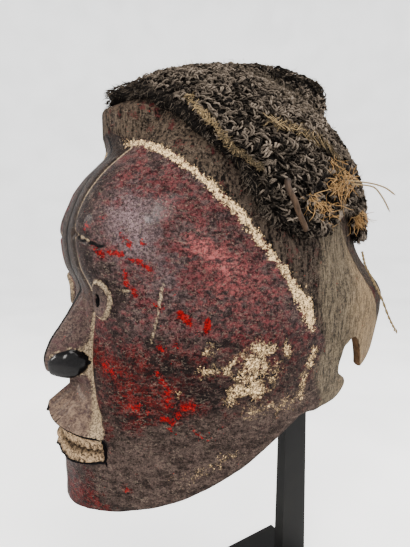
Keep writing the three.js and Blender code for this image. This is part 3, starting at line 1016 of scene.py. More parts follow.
def cheek_paint(f, g, m):
    """Clumps of lacquer over the ground, then soot, pits, cracks and dust."""
    patches = (f.noise(17, 5, 0.6, f.scaled(1.0, 1.0, 1.4), seed=59.0) - 0.5) * 0.5
    redder = m.red * (g.low * 0.16 + 0.07) + patches * 0.5
    # Less lacquer on the jaw, in the dark places and in the violet painted highlight, where the paler ground
    # shows through.
    worn = m.jaw * 0.13 + m.violet * 0.09 + m.dark * 0.1
    cover = (g.clumps + redder + m.pink * 0.06 - worn).rise(0.465, 0.575)
    colour = f.mix(cover * 0.85, cheek_ground(f, g, m), cheek_lacquer(f, g, m))
    # Less soot in the violet painted highlight.
    soot = m.dark * 0.6 - m.violet * 0.25 - (g.clumps - 0.5) * 1.6 - patches * 1.4
    soot = (soot + (g.grit - 0.5) + g.low * 0.05).rise(0.16, 0.46)
    colour = f.mix(soot * (g.low * 0.15 + 0.75), colour, paint(24, 16, 16))
    colour = f.mix(g.fine.rise(0.55, 0.64) * (g.low * 0.3 + 0.5), colour, paint(28, 20, 20))
    crack = f.noise(4.0, 4, 0.6, f.scaled(1.0, 1.0, 1.5), seed=53.0).line(0.035)
    colour = f.mix(crack * 0.5, colour, paint(22, 14, 14))
    craze = f.noise(3.6, 4, 0.6, f.scaled(1.0, 1.0, 1.8), seed=51.0).line(0.04)
    colour = f.mix(craze * g.clumps.rise(0.45, 0.56) * 0.25, colour, paint(160, 138, 130))
    dust = f.noise(1.2, 3, 0.7, seed=11.0).rise(0.60, 0.67)
    return f.mix(dust * (0.5 - g.low * 0.2), colour, paint(178, 164, 150)), cover


# %% The middle strip and the bare wood
def strip_paint(f, g):
    """Mauve on the nose, darker on the forehead and paler on the lip."""
    mauve = f.mix(g.grit.rise(0.43, 0.58), paint(82, 66, 64), paint(140, 120, 110))
    mauve = f.mix(g.clumps.rise(0.5, 0.60) * 0.5, mauve, paint(124, 86, 90))
    blotch = (g.grit * 0.6 + g.clumps * 0.4).rise(0.43, 0.58)
    forehead = f.mix(blotch, paint(30, 23, 22), paint(88, 72, 64))
    mauve = f.mix(g.height.rise(0.276, 0.296), mauve, forehead)
    blotch = (g.grit * 0.5 + g.clumps * 0.5).rise(0.43, 0.58)
    lip = f.mix(blotch, paint(104, 84, 80), paint(172, 154, 136))
    return f.mix((g.height + (g.clumps - 0.5) * 0.05).rise(0.234, 0.220), mauve, lip)


def bare_wood(f, g, m):
    """The dark band, its grey block at the front, and the tan rear."""
    streak = f.noise(1.7, 5, 0.75, f.scaled(1.0, 1.0, 0.2), seed=7.0)
    tone = streak * 0.5 + g.grit * 0.5
    band = f.mix(tone.rise(0.45, 0.55), paint(16, 12, 11), paint(112, 97, 84))
    block = f.mix(tone.rise(0.45, 0.55), paint(28, 22, 19), paint(122, 106, 89))
    band = f.mix(m.front * 0.85, band, block)
    red = (f.noise(9, 6, 0.7, seed=15.0) + (g.grit - 0.5) * 0.5).rise(0.58, 0.64)
    band = f.mix(red * 0.7, band, paint(110, 38, 42))
    rear = f.mix(tone.rise(0.42, 0.58), paint(64, 57, 49), paint(158, 146, 125))
    tan = f.mix(tone.rise(0.40, 0.62), paint(124, 108, 86), paint(190, 175, 148))
    return band, f.mix(m.rear_end, rear, tan), streak


# %% Crust and scratches
def crust_cover(f, g, m):
    """Where the chalky crust lies: solid patches, and a net of thin lines about them."""
    cracks = f.noise(5, 4, 0.6, seed=23.0).line(0.02)
    broken = (g.chips - 0.5) * 2.8 + (g.grit - 0.5) * 3.4 - cracks * 0.5
    inside_stroke = m.crust.rise(0.03, 0.2)
    web = f.noise(6.0, 4, 0.6, f.scaled(1.0, 1.0, 0.8), seed=61.0).line(0.020)
    web = web.most(f.noise(3.5, 3, 0.6, seed=67.0).line(0.022) * 0.8)
    near = (m.crust * 1.2 + (g.chips - 0.5) * 3.0).rise(0.30, 0.90) * inside_stroke
    return ((m.crust * 0.9 + broken).rise(0.63, 0.83) * inside_stroke).most(web * near * 0.7)


def scratched(f, g, colour):
    """Long fine scratches, first pale and then dark."""
    scratch = f.noise(11, 3, 0.5, f.scaled(1.0, 1.0, 2.6), seed=29.0).line(0.010)
    colour = f.mix(scratch * g.speck.rise(0.42, 0.56) * 0.5, colour, paint(170, 158, 144))
    nick = f.noise(8, 4, 0.6, seed=37.0).line(0.012) * g.grit.rise(0.44, 0.54)
    return f.mix(nick * 0.7, colour, paint(30, 22, 22))


# %% The mask's finish
def mask_finish():
    """The paints in the order in which they lie on the wood, and then the gloss and the relief."""
    f = Finish("painted_wood")
    g, m = grains(f), read_marks(f)
    gritty = g.grit - 0.5
    chipped = g.chips - 0.5

    colour, cover = cheek_paint(f, g, m)
    band, back, streak = bare_wood(f, g, m)
    colour = f.mix((m.strip + gritty * 0.5).rise(0.35, 0.65), colour, strip_paint(f, g))
    colour = f.mix((m.behind + gritty * 0.6).rise(0.4, 0.6), colour, band)
    colour = f.mix((m.rear + (g.clumps - 0.5) * 0.8).rise(0.3, 0.75), colour, back)

    flake = (m.flakes * 1.05 + chipped * 3.4 + gritty * 1.8).rise(0.60, 0.72)
    colour = f.mix(flake, colour, f.mix(g.grit.rise(0.42, 0.58), paint(88, 4, 9), paint(178, 10, 17)))
    scab = crust_cover(f, g, m)
    cream = f.mix(g.speck.rise(0.40, 0.60), paint(230, 222, 202), paint(146, 134, 114))
    colour = scratched(f, g, f.mix(scab, colour, cream))

    ivory = (g.grit + (g.speck - 0.5) * 0.6).rise(0.40, 0.58)
    ivory = f.mix(ivory, paint(92, 76, 60), paint(204, 190, 166))
    # Painted shade: m.gap darkens the teeth at the bite, between two teeth and at the gums.
    colour = f.mix(m.teeth, colour, f.mix(m.gap, ivory, paint(40, 29, 22)))
    chalky = (m.chalk * 0.9 + gritty * 3.0 + chipped * 2.8).rise(0.46, 0.66) * m.chalk.rise(0.02, 0.2)
    colour = f.mix(chalky, colour, cream)
    washed = (m.pale + gritty * 1.4 * m.pale.rise(0.03, 0.2)).rise(0.35, 0.75)
    chalk_dust = f.mix(g.speck.rise(0.4, 0.6), paint(208, 198, 178), paint(144, 132, 114))
    colour = f.mix(washed * 0.8, colour, chalk_dust)
    inked = (m.black + (g.speck - 0.5) * 0.35).rise(0.45, 0.6)
    colour = f.mix(inked, colour, paint(14, 12, 13))
    grain = f.noise(3.0, 5, 0.7, f.scaled(1.0, 0.25, 0.25), seed=9.0)
    raw = f.mix(grain.rise(0.35, 0.65), paint(82, 58, 38), paint(138, 106, 74))
    colour = f.mix(m.inner, colour, raw)

    dry = chalky.most(scab)
    for zone, share in ((m.teeth, 0.8), (m.inner, 1.0), (m.behind, 0.8), (m.rear, 0.4), (m.jaw, 0.5)):
        dry = dry.most(zone * share)
    rough = 0.42 + g.grit.rise(0.4, 0.6) * 0.16 + dry * 0.35
    coat = (m.violet * 0.25 + m.pink * 0.2 + 0.02) * (1.0 - dry) * (1.0 - inked) + m.wet * inked * 0.24
    relief = chalky * 0.5 + scab * 0.7 + flake * 0.25 + g.grit * 0.8 + cover * 0.25
    relief = relief + streak * m.behind * 1.2
    return f.done(0.02, Base_Color=colour, Roughness=rough, Normal=f.bump(relief, 0.7, 0.8),
                  Coat_Weight=coat, Coat_Roughness=0.13)


mask.data.materials.append(mask_finish())

# %% [markdown]
# ## The cap of knotted fibre
#
# The hair is a cap of blackened fibre, looped knot by knot over the crown, with
# a high ridge from front to back. A dark underlayer keeps the cap closed. Some
# thousands of small curled knots are laid over it in rows that lean one way and
# then the other, as chain stitches do.

# %% The form of the cap
HAIR_POLE = 105.0
HAIR_LEAST = 5.0
CREST = [(-168, 402), (-150, 411), (-125, 421.5), (-71, 439.5), (-20, 446), (12, 443), (22, 438)]
CREST_HALF = 15.0
CREST_ROUND = 20.0
CREST_BACK = 15.0
CREST_FRONT = -167.0
HAIR_THICKNESS = [(300, 7), (345, 9), (400, 10)]
HAIR_EDGE = [
    # degrees round the pole, degrees from the pole
    (0, 48.5), (14, 46.5), (25, 46.4), (31, 48), (42, 53), (54, 58.8), (68, 70.3), (76, 72), (92, 71),
    (104, 61), (124, 56), (134, 65), (147, 58), (180, 54),
]


def hair_form(p):
    """The cap: the head made thicker, with the crest melted into it."""
    x, y, z = p.T
    cap = head(p) - through(z, HAIR_THICKNESS)
    rise = np.maximum(z - through(y, CREST) + CREST_ROUND, 0) / CREST_ROUND
    ridge = (np.hypot(x / CREST_HALF, rise) - 1) * CREST_HALF
    return melt(cap, np.maximum(ridge, np.maximum(y - CREST_BACK, CREST_FRONT - y)), 12.0)


def wood_top(d):
    """Distance to the carved wood along each direction, with the raised band."""
    r = reach(wood, d)
    p = HEAD + d * r[:, None]
    return r + np.maximum(band(p, face_places(p)), 0.0)


def hair_top(d):
    """Distance to the top of the hair, never sunk into the wood."""
    return np.maximum(reach(hair_form, d), wood_top(d) + HAIR_LEAST)


# %% The underlayer
HAIR_TURNS = 240
HAIR_RINGS = 72
LINING_RINGS = 12
LINING_GAP = 0.4
UNDERLAYER_DEPTH = 1.6


def hair_edge(turn):
    """Degrees from the pole at which the fibre ends, a little ragged."""
    ring = columns(turn, turn * 0, turn * 0)
    return through(np.abs(turn), HAIR_EDGE) + 0.7 * cloud(ring, 4, 21) + 0.4 * cloud(ring, 1.5, 22)


def build_underlayer():
    """The closed dark layer: an outside, a lining just over the wood and a rim between them."""
    turn = np.linspace(-180, 180, HAIR_TURNS, endpoint=False)
    limit = hair_edge(turn)
    grids = []
    for rings in (HAIR_RINGS, LINING_RINGS):
        angles = np.linspace(0, 1, rings)[None, :] * limit[:, None]
        turns = np.repeat(turn[:, None], rings, axis=1)
        grids.append(directions(HAIR_POLE, turns.ravel(), angles.ravel()))
    lumps = 0.5 * cloud(grids[0] * 130, 4, 23)
    outer = HEAD + grids[0] * (hair_top(grids[0]) - UNDERLAYER_DEPTH + lumps)[:, None]
    inner = HEAD + grids[1] * (wood_top(grids[1]) + LINING_GAP)[:, None]
    edges = [grid.reshape(HAIR_TURNS, -1, 3)[:, -1] for grid in (outer, inner)]
    points = np.concatenate([outer, inner, (edges[0] + edges[1]) / 2])
    faces = bowl_faces(HAIR_TURNS, HAIR_RINGS, LINING_RINGS, 1)
    used, faces = closed_poles(points, faces, HAIR_TURNS, HAIR_RINGS, LINING_RINGS)
    return piece("hair_underlayer", points[used], faces, {"tint": np.zeros((len(used), 3))})


underlayer = build_underlayer()
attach(underlayer, "root")
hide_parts("hair_cap")

# %% [markdown]
# ## Strands
#
# Knots, frayed ends and loose threads are all the same thing: a thin tube along
# a line, pointed at both ends. They are made together as arrays and fused into
# a few meshes, so that thousands of them cost little.


# %% Many tapered tubes in one mesh
def tubes(name, lines, up, wide, thick, sides, tint):
    """Fuses tubes: `lines` is (tubes, points, 3), and the first and last point of each are its tips."""
    count, points = lines.shape[:2]
    along = unit(np.gradient(lines, axis=1), TINY)
    across = unit(np.cross(along, up[:, None, :]), TINY)
    above = np.cross(across, along)
    turn = 2 * np.pi * np.arange(sides) / sides
    spokes = (across[:, :, None, :] * (np.cos(turn)[None, None, :] * wide[:, :, None])[..., None]
              + above[:, :, None, :] * (np.sin(turn)[None, None, :] * thick[:, :, None])[..., None])
    rings = (lines[:, :, None, :] + spokes)[:, 1:-1].reshape(count, -1, 3)
    body = np.concatenate([rings, lines[:, :1], lines[:, -1:]], axis=1)
    size = body.shape[1]
    pattern = []
    for k in range(points - 3):
        for s in range(sides):
            n = (s + 1) % sides
            pattern.append((k * sides + s, k * sides + n, (k + 1) * sides + n, (k + 1) * sides + s))
    last = (points - 3) * sides
    tips = [((s + 1) % sides, s, size - 2) for s in range(sides)]
    tips += [(last + s, last + (s + 1) % sides, size - 1) for s in range(sides)]
    start = (np.arange(count) * size)[:, None, None]
    faces = (np.array(pattern).reshape(-1, 4)[None] + start).reshape(-1, 4).tolist()
    faces += (np.array(tips)[None] + start).reshape(-1, 3).tolist()
    return piece(name, body.reshape(-1, 3), faces, {"tint": np.repeat(tint, size, axis=0)})


def grown(rng, roots, heading, lengths, points, droop, curl):
    """Lines that set out along their headings, wander and droop."""
    step = (lengths / (points - 1))[:, None]
    here, way = roots, unit(heading)
    lines = [here]
    drift = rng.normal(size=here.shape)
    for _ in range(points - 1):
        drift = 0.6 * drift + 0.8 * rng.normal(size=here.shape)
        way = unit(way + curl * drift + np.array([0, 0, -droop]))
        here = here + way * step
        lines.append(here)
    return columns(*lines)


def tapered(lines, radius):
    """Even thickness that narrows towards the far end."""
    share = np.linspace(0, 1, lines.shape[1])[None, :]
    return radius[:, None] * (1 - 0.65 * share)


# %% [markdown]
# ## Worn and frayed places
#
# The blackening has worn off in a few places. A pale brown stripe follows the
# front edge, bare netting lies above the ear, and the top of each side is rubbed
# grey and painted lighter as a highlight. Each is a line of places with a width.

# %% Worn lines
FRONT_STRIPE = [(47, -133, 395), (58, -132, 384), (64, -129, 379), (72, -127, 370), (77, -125, 363),
                (83, -118, 357), (86, -112, 353)]
NETTING = [(75, -100, 379), (77, -89, 378), (79, -76, 375), (79, -59, 371), (81, -48, 361), (86, -55, 351)]
# Rubbed grey, and a painted highlight: the top of each side is made lighter where the light from above falls.
RUBBED_AND_LIT_TOP = [(14, -60, 432), (43, -70, 415), (58, -71, 403), (60, -61, 399), (66, -50, 385)]
print("worn lines:", len(FRONT_STRIPE), len(NETTING), len(RUBBED_AND_LIT_TOP), "places")


def near_line(p, places, width):
    """1 on a line of places and less beside it, on either side of the head."""
    away = [off_line(near_side(p), start, end) for start, end in zip(places, places[1:])]
    return bell(np.min(away, axis=0), width)


# %% Places on the cap
SEARCH_CELL = 4.0
FRINGE = [(353, -112), (363, -125), (379, -131), (395, -136), (411, -142), (430, -150)]


def outer_triangles(made):
    """Corners of the triangles that face away from the head, in head millimetres."""
    mesh = made.data
    mesh.calc_loop_triangles()
    corners = np.zeros(len(mesh.loop_triangles) * 3, np.int32)
    mesh.loop_triangles.foreach_get("vertices", corners)
    flat = np.zeros(len(mesh.vertices) * 3, np.float32)
    mesh.vertices.foreach_get("co", flat)
    corner = flat.reshape(-1, 3)[corners.reshape(-1, 3)] / MM - [0, BAR_BEHIND, 0]
    out = np.cross(corner[:, 1] - corner[:, 0], corner[:, 2] - corner[:, 0])
    facing_out = np.einsum("ij,ij->i", out, corner.mean(axis=1) - HEAD) > 0
    return corner, np.linalg.norm(out, axis=1) * facing_out


def scattered(rng, tries, gap):
    """Places spread over the underlayer, none nearer to another than gap(places)."""
    corner, area = outer_triangles(underlayer)
    chosen = rng.choice(len(area), tries, p=area / area.sum())
    share = rng.uniform(size=(2, tries))
    share[:, share.sum(axis=0) > 1] = 1 - share[:, share.sum(axis=0) > 1]
    a, b, c = corner[chosen].transpose(1, 0, 2)
    p = a + (b - a) * share[0][:, None] + (c - a) * share[1][:, None]
    taken, kept = {}, []
    for k, (key, q, g) in enumerate(zip(np.floor(p / SEARCH_CELL).astype(int), p, gap(p))):
        near = [m for step in itertools.product((-1, 0, 1), repeat=3)
                for m in taken.get(tuple(key + step), ())]
        if near and np.min(np.sum((p[near] - q) ** 2, axis=1)) < g * g:
            continue
        taken.setdefault(tuple(key), []).append(k)
        kept.append(k)
    return p[kept], outward(hair_form, p[kept])


def in_fringe(p):
    """1 in the combed band along the front edge."""
    return ease(3, -3, p[:, 1] - through(p[:, 2], FRINGE))


# %% Tint and spacing of the knots
KNOT_TRIES = 34000
KNOT_LENGTH = 6.6
KNOT_LEAN = 40.0
ROW_WIDTH = 3.1
STRANDS = 3
TWIST = 1.1
TORN = [(87, -62, 350), (87, -50, 342)]


def knot_tint(rng, p):
    """How light and how brown each knot is, for a field of three numbers."""
    x, y, z = p.T
    light = 0.62 - 0.14 * ease(392, 352, z) + 0.25 * cloud(p, 9, 31) + 0.24 * rng.normal(size=len(p))
    # Painted highlight, with real rubbing as well: lighter knots along the top of each side.
    light = light + 0.35 * near_line(p, RUBBED_AND_LIT_TOP, 12)
    # Painted shade: knots near the top of the crest are made darker, and browner as well.
    crest = ease(20, 13, np.abs(x)) * ease(22, 14, through(y, CREST) - z) * ease(-80, -50, y)
    light = light - 0.35 * crest
    brown = 0.6 * near_line(p, FRONT_STRIPE, 3.5) + 0.5 * near_line(p, NETTING, 6)
    brown = brown + 0.1 * rng.normal(size=len(p))
    brown = brown + 0.5 * ease(-15, 12, y) * ease(420, 435, z) + 0.15 * crest
    return np.clip(columns(light, brown, 0 * light), 0, 1)


def knot_gap(p):
    return np.interp(p[:, 2], [350, 400, 430], [2.6, 2.2, 2.1])


# %% The knots
def knot_lines(rng, p, up):
    """The middle line of each knot: a low arch that leans the way its row does."""
    level = unit(np.cross(up, [0.15, 0.2, 1.0]))
    down = np.cross(level, up)
    row = np.floor((np.abs(p[:, 0]) * 0.35 + p[:, 2] + 0.35 * p[:, 1]) / ROW_WIDTH).astype(int)
    lean = np.where(row % 2 == 0, 1, -1) * np.radians(KNOT_LEAN) + rng.normal(size=len(p)) * 0.38
    way = np.cos(lean)[:, None] * level + np.sin(lean)[:, None] * down
    side = np.cross(way, up)
    size = np.clip(rng.normal(1.0, 0.16, len(p)), 0.65, 1.4) * np.interp(p[:, 2], [360, 420], [1.1, 0.78])
    s = np.linspace(-1, 1, 5)
    tip = rng.normal(0, 0.35, len(p))
    height = 1.7 * (1 - s**2)[None, :] + tip[:, None] * s[None, :] - 0.1
    bow = (0.8 * s**2)[None, :] * rng.choice([-1, 1], len(p))[:, None]
    lines = (p[:, None, :] + way[:, None, :] * (s * KNOT_LENGTH / 2)[None, :, None] * size[:, None, None]
             + side[:, None, :] * (bow * size[:, None])[..., None]
             + up[:, None, :] * (height * size[:, None] + rng.normal(0, 0.3, len(p))[:, None])[..., None])
    return lines, side, size


def build_knots():
    """Every knot is three strands twisted about one line. The two sides are separate meshes."""
    rng = np.random.default_rng(7)
    p, up = scattered(rng, KNOT_TRIES, knot_gap)
    keep = (in_fringe(p) < 0.5) & (near_line(p, TORN, 6.5) < 0.5) & (near_line(p, FRONT_STRIPE, 2.0) < 0.4)
    p, up = p[keep], up[keep]
    lines, side, size = knot_lines(rng, p, up)
    tints = knot_tint(rng, p)
    plies = []
    for k in range(STRANDS):
        turn = np.arange(5)[None, :] * TWIST + 2 * np.pi * k / STRANDS
        turn = turn + rng.uniform(0, 6, len(p))[:, None]
        off = 0.78 * np.array([0.3, 1, 1.1, 1.0, 0.3])[None, :] * size[:, None]
        plies.append(lines + side[:, None, :] * (np.cos(turn) * off * 1.2)[..., None]
                     + up[:, None, :] * (np.sin(turn) * off * 0.8)[..., None])
    radius = np.array([0, 0.50, 0.56, 0.44, 0])[None, :] * size[:, None]
    made = []
    for name, chosen in (("hair_knots_left", p[:, 0] < 0), ("hair_knots_right", p[:, 0] >= 0)):
        shade = np.tile(tints[chosen], (STRANDS, 1))
        shade[:, 0] = np.clip(shade[:, 0] + rng.normal(0, 0.2, len(shade)), 0, 1)
        ups, radii = np.tile(up[chosen], (STRANDS, 1)), np.tile(radius[chosen], (STRANDS, 1))
        made.append(tubes(name, np.concatenate([ply[chosen] for ply in plies]), ups, radii, radii, 3, shade))
    return made


knots = build_knots()
for made in knots:
    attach(made, "root")

# %% [markdown]
# ## Frayed fibre
#
# The front of the cap is combed fibre and not knots. Short dark hairs stand out
# all over and hang over the edge. The worn stripe is a ribbon of pale threads,
# the netting a lattice, and golden tufts burst out behind the twig, where the
# cap has torn. Each group has its own length, droop and curl.


# %% Dark fuzz
EDGE_HAIRS = 2100
HUNG_HAIRS = 520
STANDING_TRIES = 7200


def on_cap(turn, angle):
    """Places on top of the cap, and the directions straight out of it."""
    d = directions(HAIR_POLE, turn, angle)
    p = HEAD + d * hair_top(d)[:, None]
    return p, outward(hair_form, p)


def edge_hairs(rng, count, start, end, above, below):
    """Roots along the cap's edge, from `above` it to `below` it in degrees."""
    turn = rng.uniform(start, end, count)
    return on_cap(turn, through(np.abs(turn), HAIR_EDGE) - rng.uniform(-below, above, count))


def build_fuzz():
    """Hairs at the edge, hairs that hang over the brow and hairs that stand up all over."""
    rng = np.random.default_rng(11)
    p, up = edge_hairs(rng, EDGE_HAIRS, -180, 180, 2.2, 0.3)
    p = p - up * rng.uniform(0.5, 4.5, len(p))[:, None]
    way = up * 0.35 + [0, 0, -0.8] + rng.normal(size=p.shape) * 0.45
    edge = grown(rng, p, way, rng.uniform(3, 7.5, len(p)), 5, 0.1, 0.18)
    r, over = edge_hairs(rng, HUNG_HAIRS, -52, -4, 2.0, 0.5)
    r = r - over * rng.uniform(-0.5, 3, len(r))[:, None]
    way = over * 0.25 + [0, 0, -1] + rng.normal(size=r.shape) * 0.2
    hung = grown(rng, r, way, rng.uniform(6, 15, len(r)), 5, 0.1, 0.12)
    q, above = scattered(rng, STANDING_TRIES, lambda p: np.full(len(p), 0.6))
    way = above * 0.35 + rng.normal(size=q.shape) * 0.6
    stand = grown(rng, q + above * 1.4, way, rng.uniform(2.2, 5.0, len(q)), 5, 0.05, 0.3)
    lines, ups = np.concatenate([edge, stand, hung]), np.concatenate([up, above, over])
    count = len(lines)
    radius = tapered(lines, rng.uniform(0.10, 0.2, count))
    tint = columns(rng.uniform(0.1, 1.0, count), rng.uniform(0, 0.6, count), np.zeros(count))
    return tubes("hair_fuzz", lines, ups + 0.01, radius, radius, 3, tint)


# %% The combed fringe
FRINGE_TRIES = 34000


def build_fringe():
    """The combed band: fibres that lie along the cap towards its front edge."""
    rng = np.random.default_rng(13)
    p, up = scattered(rng, FRINGE_TRIES, lambda p: np.where(in_fringe(p) > 0.4, 0.7, 9.0))
    keep = in_fringe(p) > 0.4
    p, up = p[keep], up[keep]
    way = np.array([0, -0.75, -0.65]) + rng.normal(size=p.shape) * 0.22
    way = way - up * np.einsum("ij,ij->i", way, up)[:, None] * 0.9 + up * 0.16
    roots = p + up * rng.uniform(0.3, 1.6, len(p))[:, None]
    lines = grown(rng, roots, way, rng.uniform(3.0, 6.0, len(p)), 6, 0.03, 0.10)
    radius = tapered(lines, rng.uniform(0.18, 0.34, len(lines)))
    layer = 0.5 + 0.5 * np.sin(p[:, 1] * 1.1 + 2 * cloud(p, 8, 41))
    light = 0.1 + 0.6 * layer * rng.uniform(0.4, 1.0, len(p))
    brown = np.clip(0.3 + 0.2 * rng.normal(size=len(p)), 0, 1)
    return tubes("hair_fringe", lines, up + 0.01, radius, radius, 4, columns(light, brown, 0 * light))


fuzz = build_fuzz()
fringe = build_fringe()
for made in (fuzz, fringe):
    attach(made, "root")


# %% Threads laid across a worn line
def laid(p, height=0.6):
    """Points moved to the top of the cap."""
    d = unit((p - HEAD).reshape(-1, 3))
    return (HEAD + d * (hair_top(d) + height)[:, None]).reshape(p.shape)


FRAY_POINTS = 7


def ribbon(rng, places, count, width, angle):
    """Threads that cross a worn line at plus or minus `angle` degrees, lying on the cap."""
    line = np.array(places, float)
    at = np.sort(rng.uniform(0, len(line) - 1, count))
    i = np.minimum(at.astype(int), len(line) - 2)
    centre = line[i] + (line[i + 1] - line[i]) * (at - i)[:, None]
    along = unit(line[i + 1] - line[i])
    up = outward(hair_form, laid(centre))
    across = np.cross(up, along)
    tilt = np.radians(angle) * rng.choice([-1, 1], count) + rng.normal(size=count) * 0.25
    way = np.cos(tilt)[:, None] * across + np.sin(tilt)[:, None] * along
    half = rng.uniform(0.5, 1.15, count) * width
    s = np.linspace(-1, 1, FRAY_POINTS)[None, :, None] * half[:, None, None]
    middle = centre + across * rng.normal(size=count)[:, None] * width * 0.3
    wander = rng.normal(size=(count, FRAY_POINTS, 3)) * 0.28
    lines = laid(middle[:, None, :] + way[:, None, :] * s + wander, 1.6)
    return lines + up[:, None, :] * rng.uniform(-0.4, 0.7, count)[:, None, None], up


# %% Ribbons, frizz and golden tufts
RIBBONS = [
    # line, threads, width, angle, share of gold
    (FRONT_STRIPE, 340, 2.7, 38, 0.2),
    (NETTING, 120, 6.5, 42, 0.1),
]
TUFTS = [
    # root, spread, heading, threads, length, droop, curl
    ((85, -46, 354), 3.5, (0.35, -0.85, -0.20), 40, 19, 0.05, 0.14),
    ((88, -57, 348), 3.0, (0.35, -0.80, -0.45), 44, 16, 0.08, 0.20),
    ((83, -57, 361), 2.5, (0.25, 0.40, -0.85), 30, 12, 0.02, 0.12),
    ((90, -80, 341), 2.4, (0.25, 0.05, -1.00), 70, 14, 0.05, 0.34),
    ((90, -72, 337), 3.0, (0.20, 0.25, -1.00), 50, 13, 0.04, 0.50),
    ((88, -66, 330), 3.2, (0.25, 0.30, -0.60), 44, 9, 0.02, 0.60),
    ((74, -19, 331), 3.0, (0.15, 0.50, -0.80), 60, 10, 0.08, 0.36),
    ((81, -42, 352), 2.5, (0.55, 0.70, 0.10), 12, 13, 0.05, 0.22),
]
FRIZZ = 360


def ribbons(rng):
    """The worn stripe and the netting."""
    for places, count, width, angle, gold in RIBBONS:
        lines, up = ribbon(rng, places, count, width, angle)
        fade = np.linspace(1.0, 0.25, count) * rng.uniform(0.0, 1.0, count)
        tint = columns(fade, np.ones(count), rng.uniform(0, gold, count))
        yield lines, up, rng.uniform(0.16, 0.30, count), tint


def frizz(rng):
    """Thin curled hairs along the rubbed top of each side, which is also painted lighter as a highlight."""
    at = rng.uniform(0, 1, FRIZZ)[:, None]
    line = np.array(RUBBED_AND_LIT_TOP, float)
    k = rng.integers(0, len(line) - 1, FRIZZ)
    root = laid(line[k] * (1 - at) + line[k + 1] * at + rng.normal(size=(FRIZZ, 3)) * 9)
    up = outward(hair_form, root)
    way = up * 0.25 + rng.normal(size=root.shape) * 0.6
    lines = grown(rng, root + up, way, rng.uniform(2.5, 6, FRIZZ), FRAY_POINTS, 0.02, 0.5)
    tint = columns(rng.uniform(0.2, 0.9, FRIZZ), np.full(FRIZZ, 0.35), np.zeros(FRIZZ))
    return lines, up, rng.uniform(0.09, 0.17, FRIZZ), tint


def tufts(rng):
    """The golden bursts behind the twig, on the near side only."""
    for root, spread, heading, count, length, droop, curl in TUFTS:
        p = np.array(root) + rng.normal(size=(count, 3)) * np.array([0.35, 1.0, 0.8]) * spread
        way = np.array(heading) + rng.normal(size=p.shape) * 0.35
        lines = grown(rng, p, way, rng.uniform(0.4, 1.25, count) * length, FRAY_POINTS, droop, curl)
        tint = columns(rng.uniform(0.1, 1.0, count), np.ones(count), rng.uniform(0.6, 1.0, count))
        yield lines, np.tile([0.3, 0.2, 1.0], (count, 1)), rng.uniform(0.16, 0.32, count), tint


# %% All the frays
def build_frays():
    """Ribbons and frizz on both sides, and the tufts, in one mesh."""
    rng = np.random.default_rng(23)
    groups = []
    for mirror in (1, -1):
        flip = np.array([mirror, 1, 1])
        for lines, up, radii, tint in (*ribbons(rng), frizz(rng)):
            groups.append((lines * flip, up * flip, radii, tint))
    groups += tufts(rng)
    lines, ups, radii, tints = (np.concatenate(parts) for parts in zip(*groups))
    radius = tapered(lines, radii)
    return tubes("frayed_threads", lines, ups, radius, radius, 4, tints)


frays = build_frays()
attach(frays, "root")

# %% Two long loose threads
LOOSE_THREADS = [
    [(80, -44, 350), (82, -38, 352), (86, -24, 351), (88, -13, 349), (90, -3, 344)],
    [(80, -43, 349), (83, -36, 350), (87, -24, 349), (88, -15, 343), (89, -7, 333)],
]
LOOSE_RADIUS = 0.50
LOOSE_POINTS = 16


def smooth_line(places, points):
    """A smooth line through the places, by the same rule for x, y and z."""
    places = np.array(places, float)
    at = np.linspace(0, len(places) - 1, points)
    stations = np.arange(len(places))
    return columns(*[through(at, list(zip(stations, places[:, k]))) for k in range(3)])


def build_loose():
    lines = np.stack([smooth_line(places, LOOSE_POINTS) for places in LOOSE_THREADS])
    radius = np.full(lines.shape[:2], LOOSE_RADIUS)
    return tubes("loose_threads", lines, np.tile([0.0, 0.0, 1.0], (2, 1)), radius, radius, 6,
                 np.tile([0.55, 0.9, 0.5], (2, 1)))


loose = build_loose()
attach(loose, "root")

# %% [markdown]
# ## The twig and the hanging strand
#
# A bent twig is pushed through the edge of the cap. Below the torn tab a
# two-ply strand of fibre hangs free. It is nearly eight centimetres long, and
# its far end is bare and splits in two. Both are tubes along a smooth line, and
# the strand's two plies are wound about each other, because that shows.

# %% The twig
TWIG = [(93.5, -102, 347), (96, -104, 343), (99, -101, 334), (98.5, -93, 322)]
TWIG_RADIUS = 1.7
TWIG_POINTS = 26


def build_twig():
    """A bent stick with knobs, a little thinner towards its lower end, with blunt tips."""
    line = smooth_line(TWIG, TWIG_POINTS)
    line = np.concatenate([line[:1] + [-0.6, 0.6, 0.4], line, line[-1:] + [0, 0.5, -0.6]])[None]
    share = np.linspace(0, 1, line.shape[1])[None, :]
    radius = TWIG_RADIUS * (1.04 - 0.16 * share + 0.08 * np.sin(share * 19) * np.sin(share * 7))
    return tubes("twig_carved", line, np.array([[0.2, 0.1, 1.0]]), radius, radius * 0.92, 12,
                 np.array([[0.5, 0.3, 0.5]]))


twig = build_twig()
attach(twig, "root")
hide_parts("hair_peg")

# %% The hanging strand
STRAND = [(72, -11, 308), (72.5, -8, 299), (74, -1, 288), (74, 9, 276), (74, 21, 258), (74, 31, 246)]
STRAND_RADIUS = 0.9
STRAND_TURNS = 9.0
STRAND_POINTS = 90


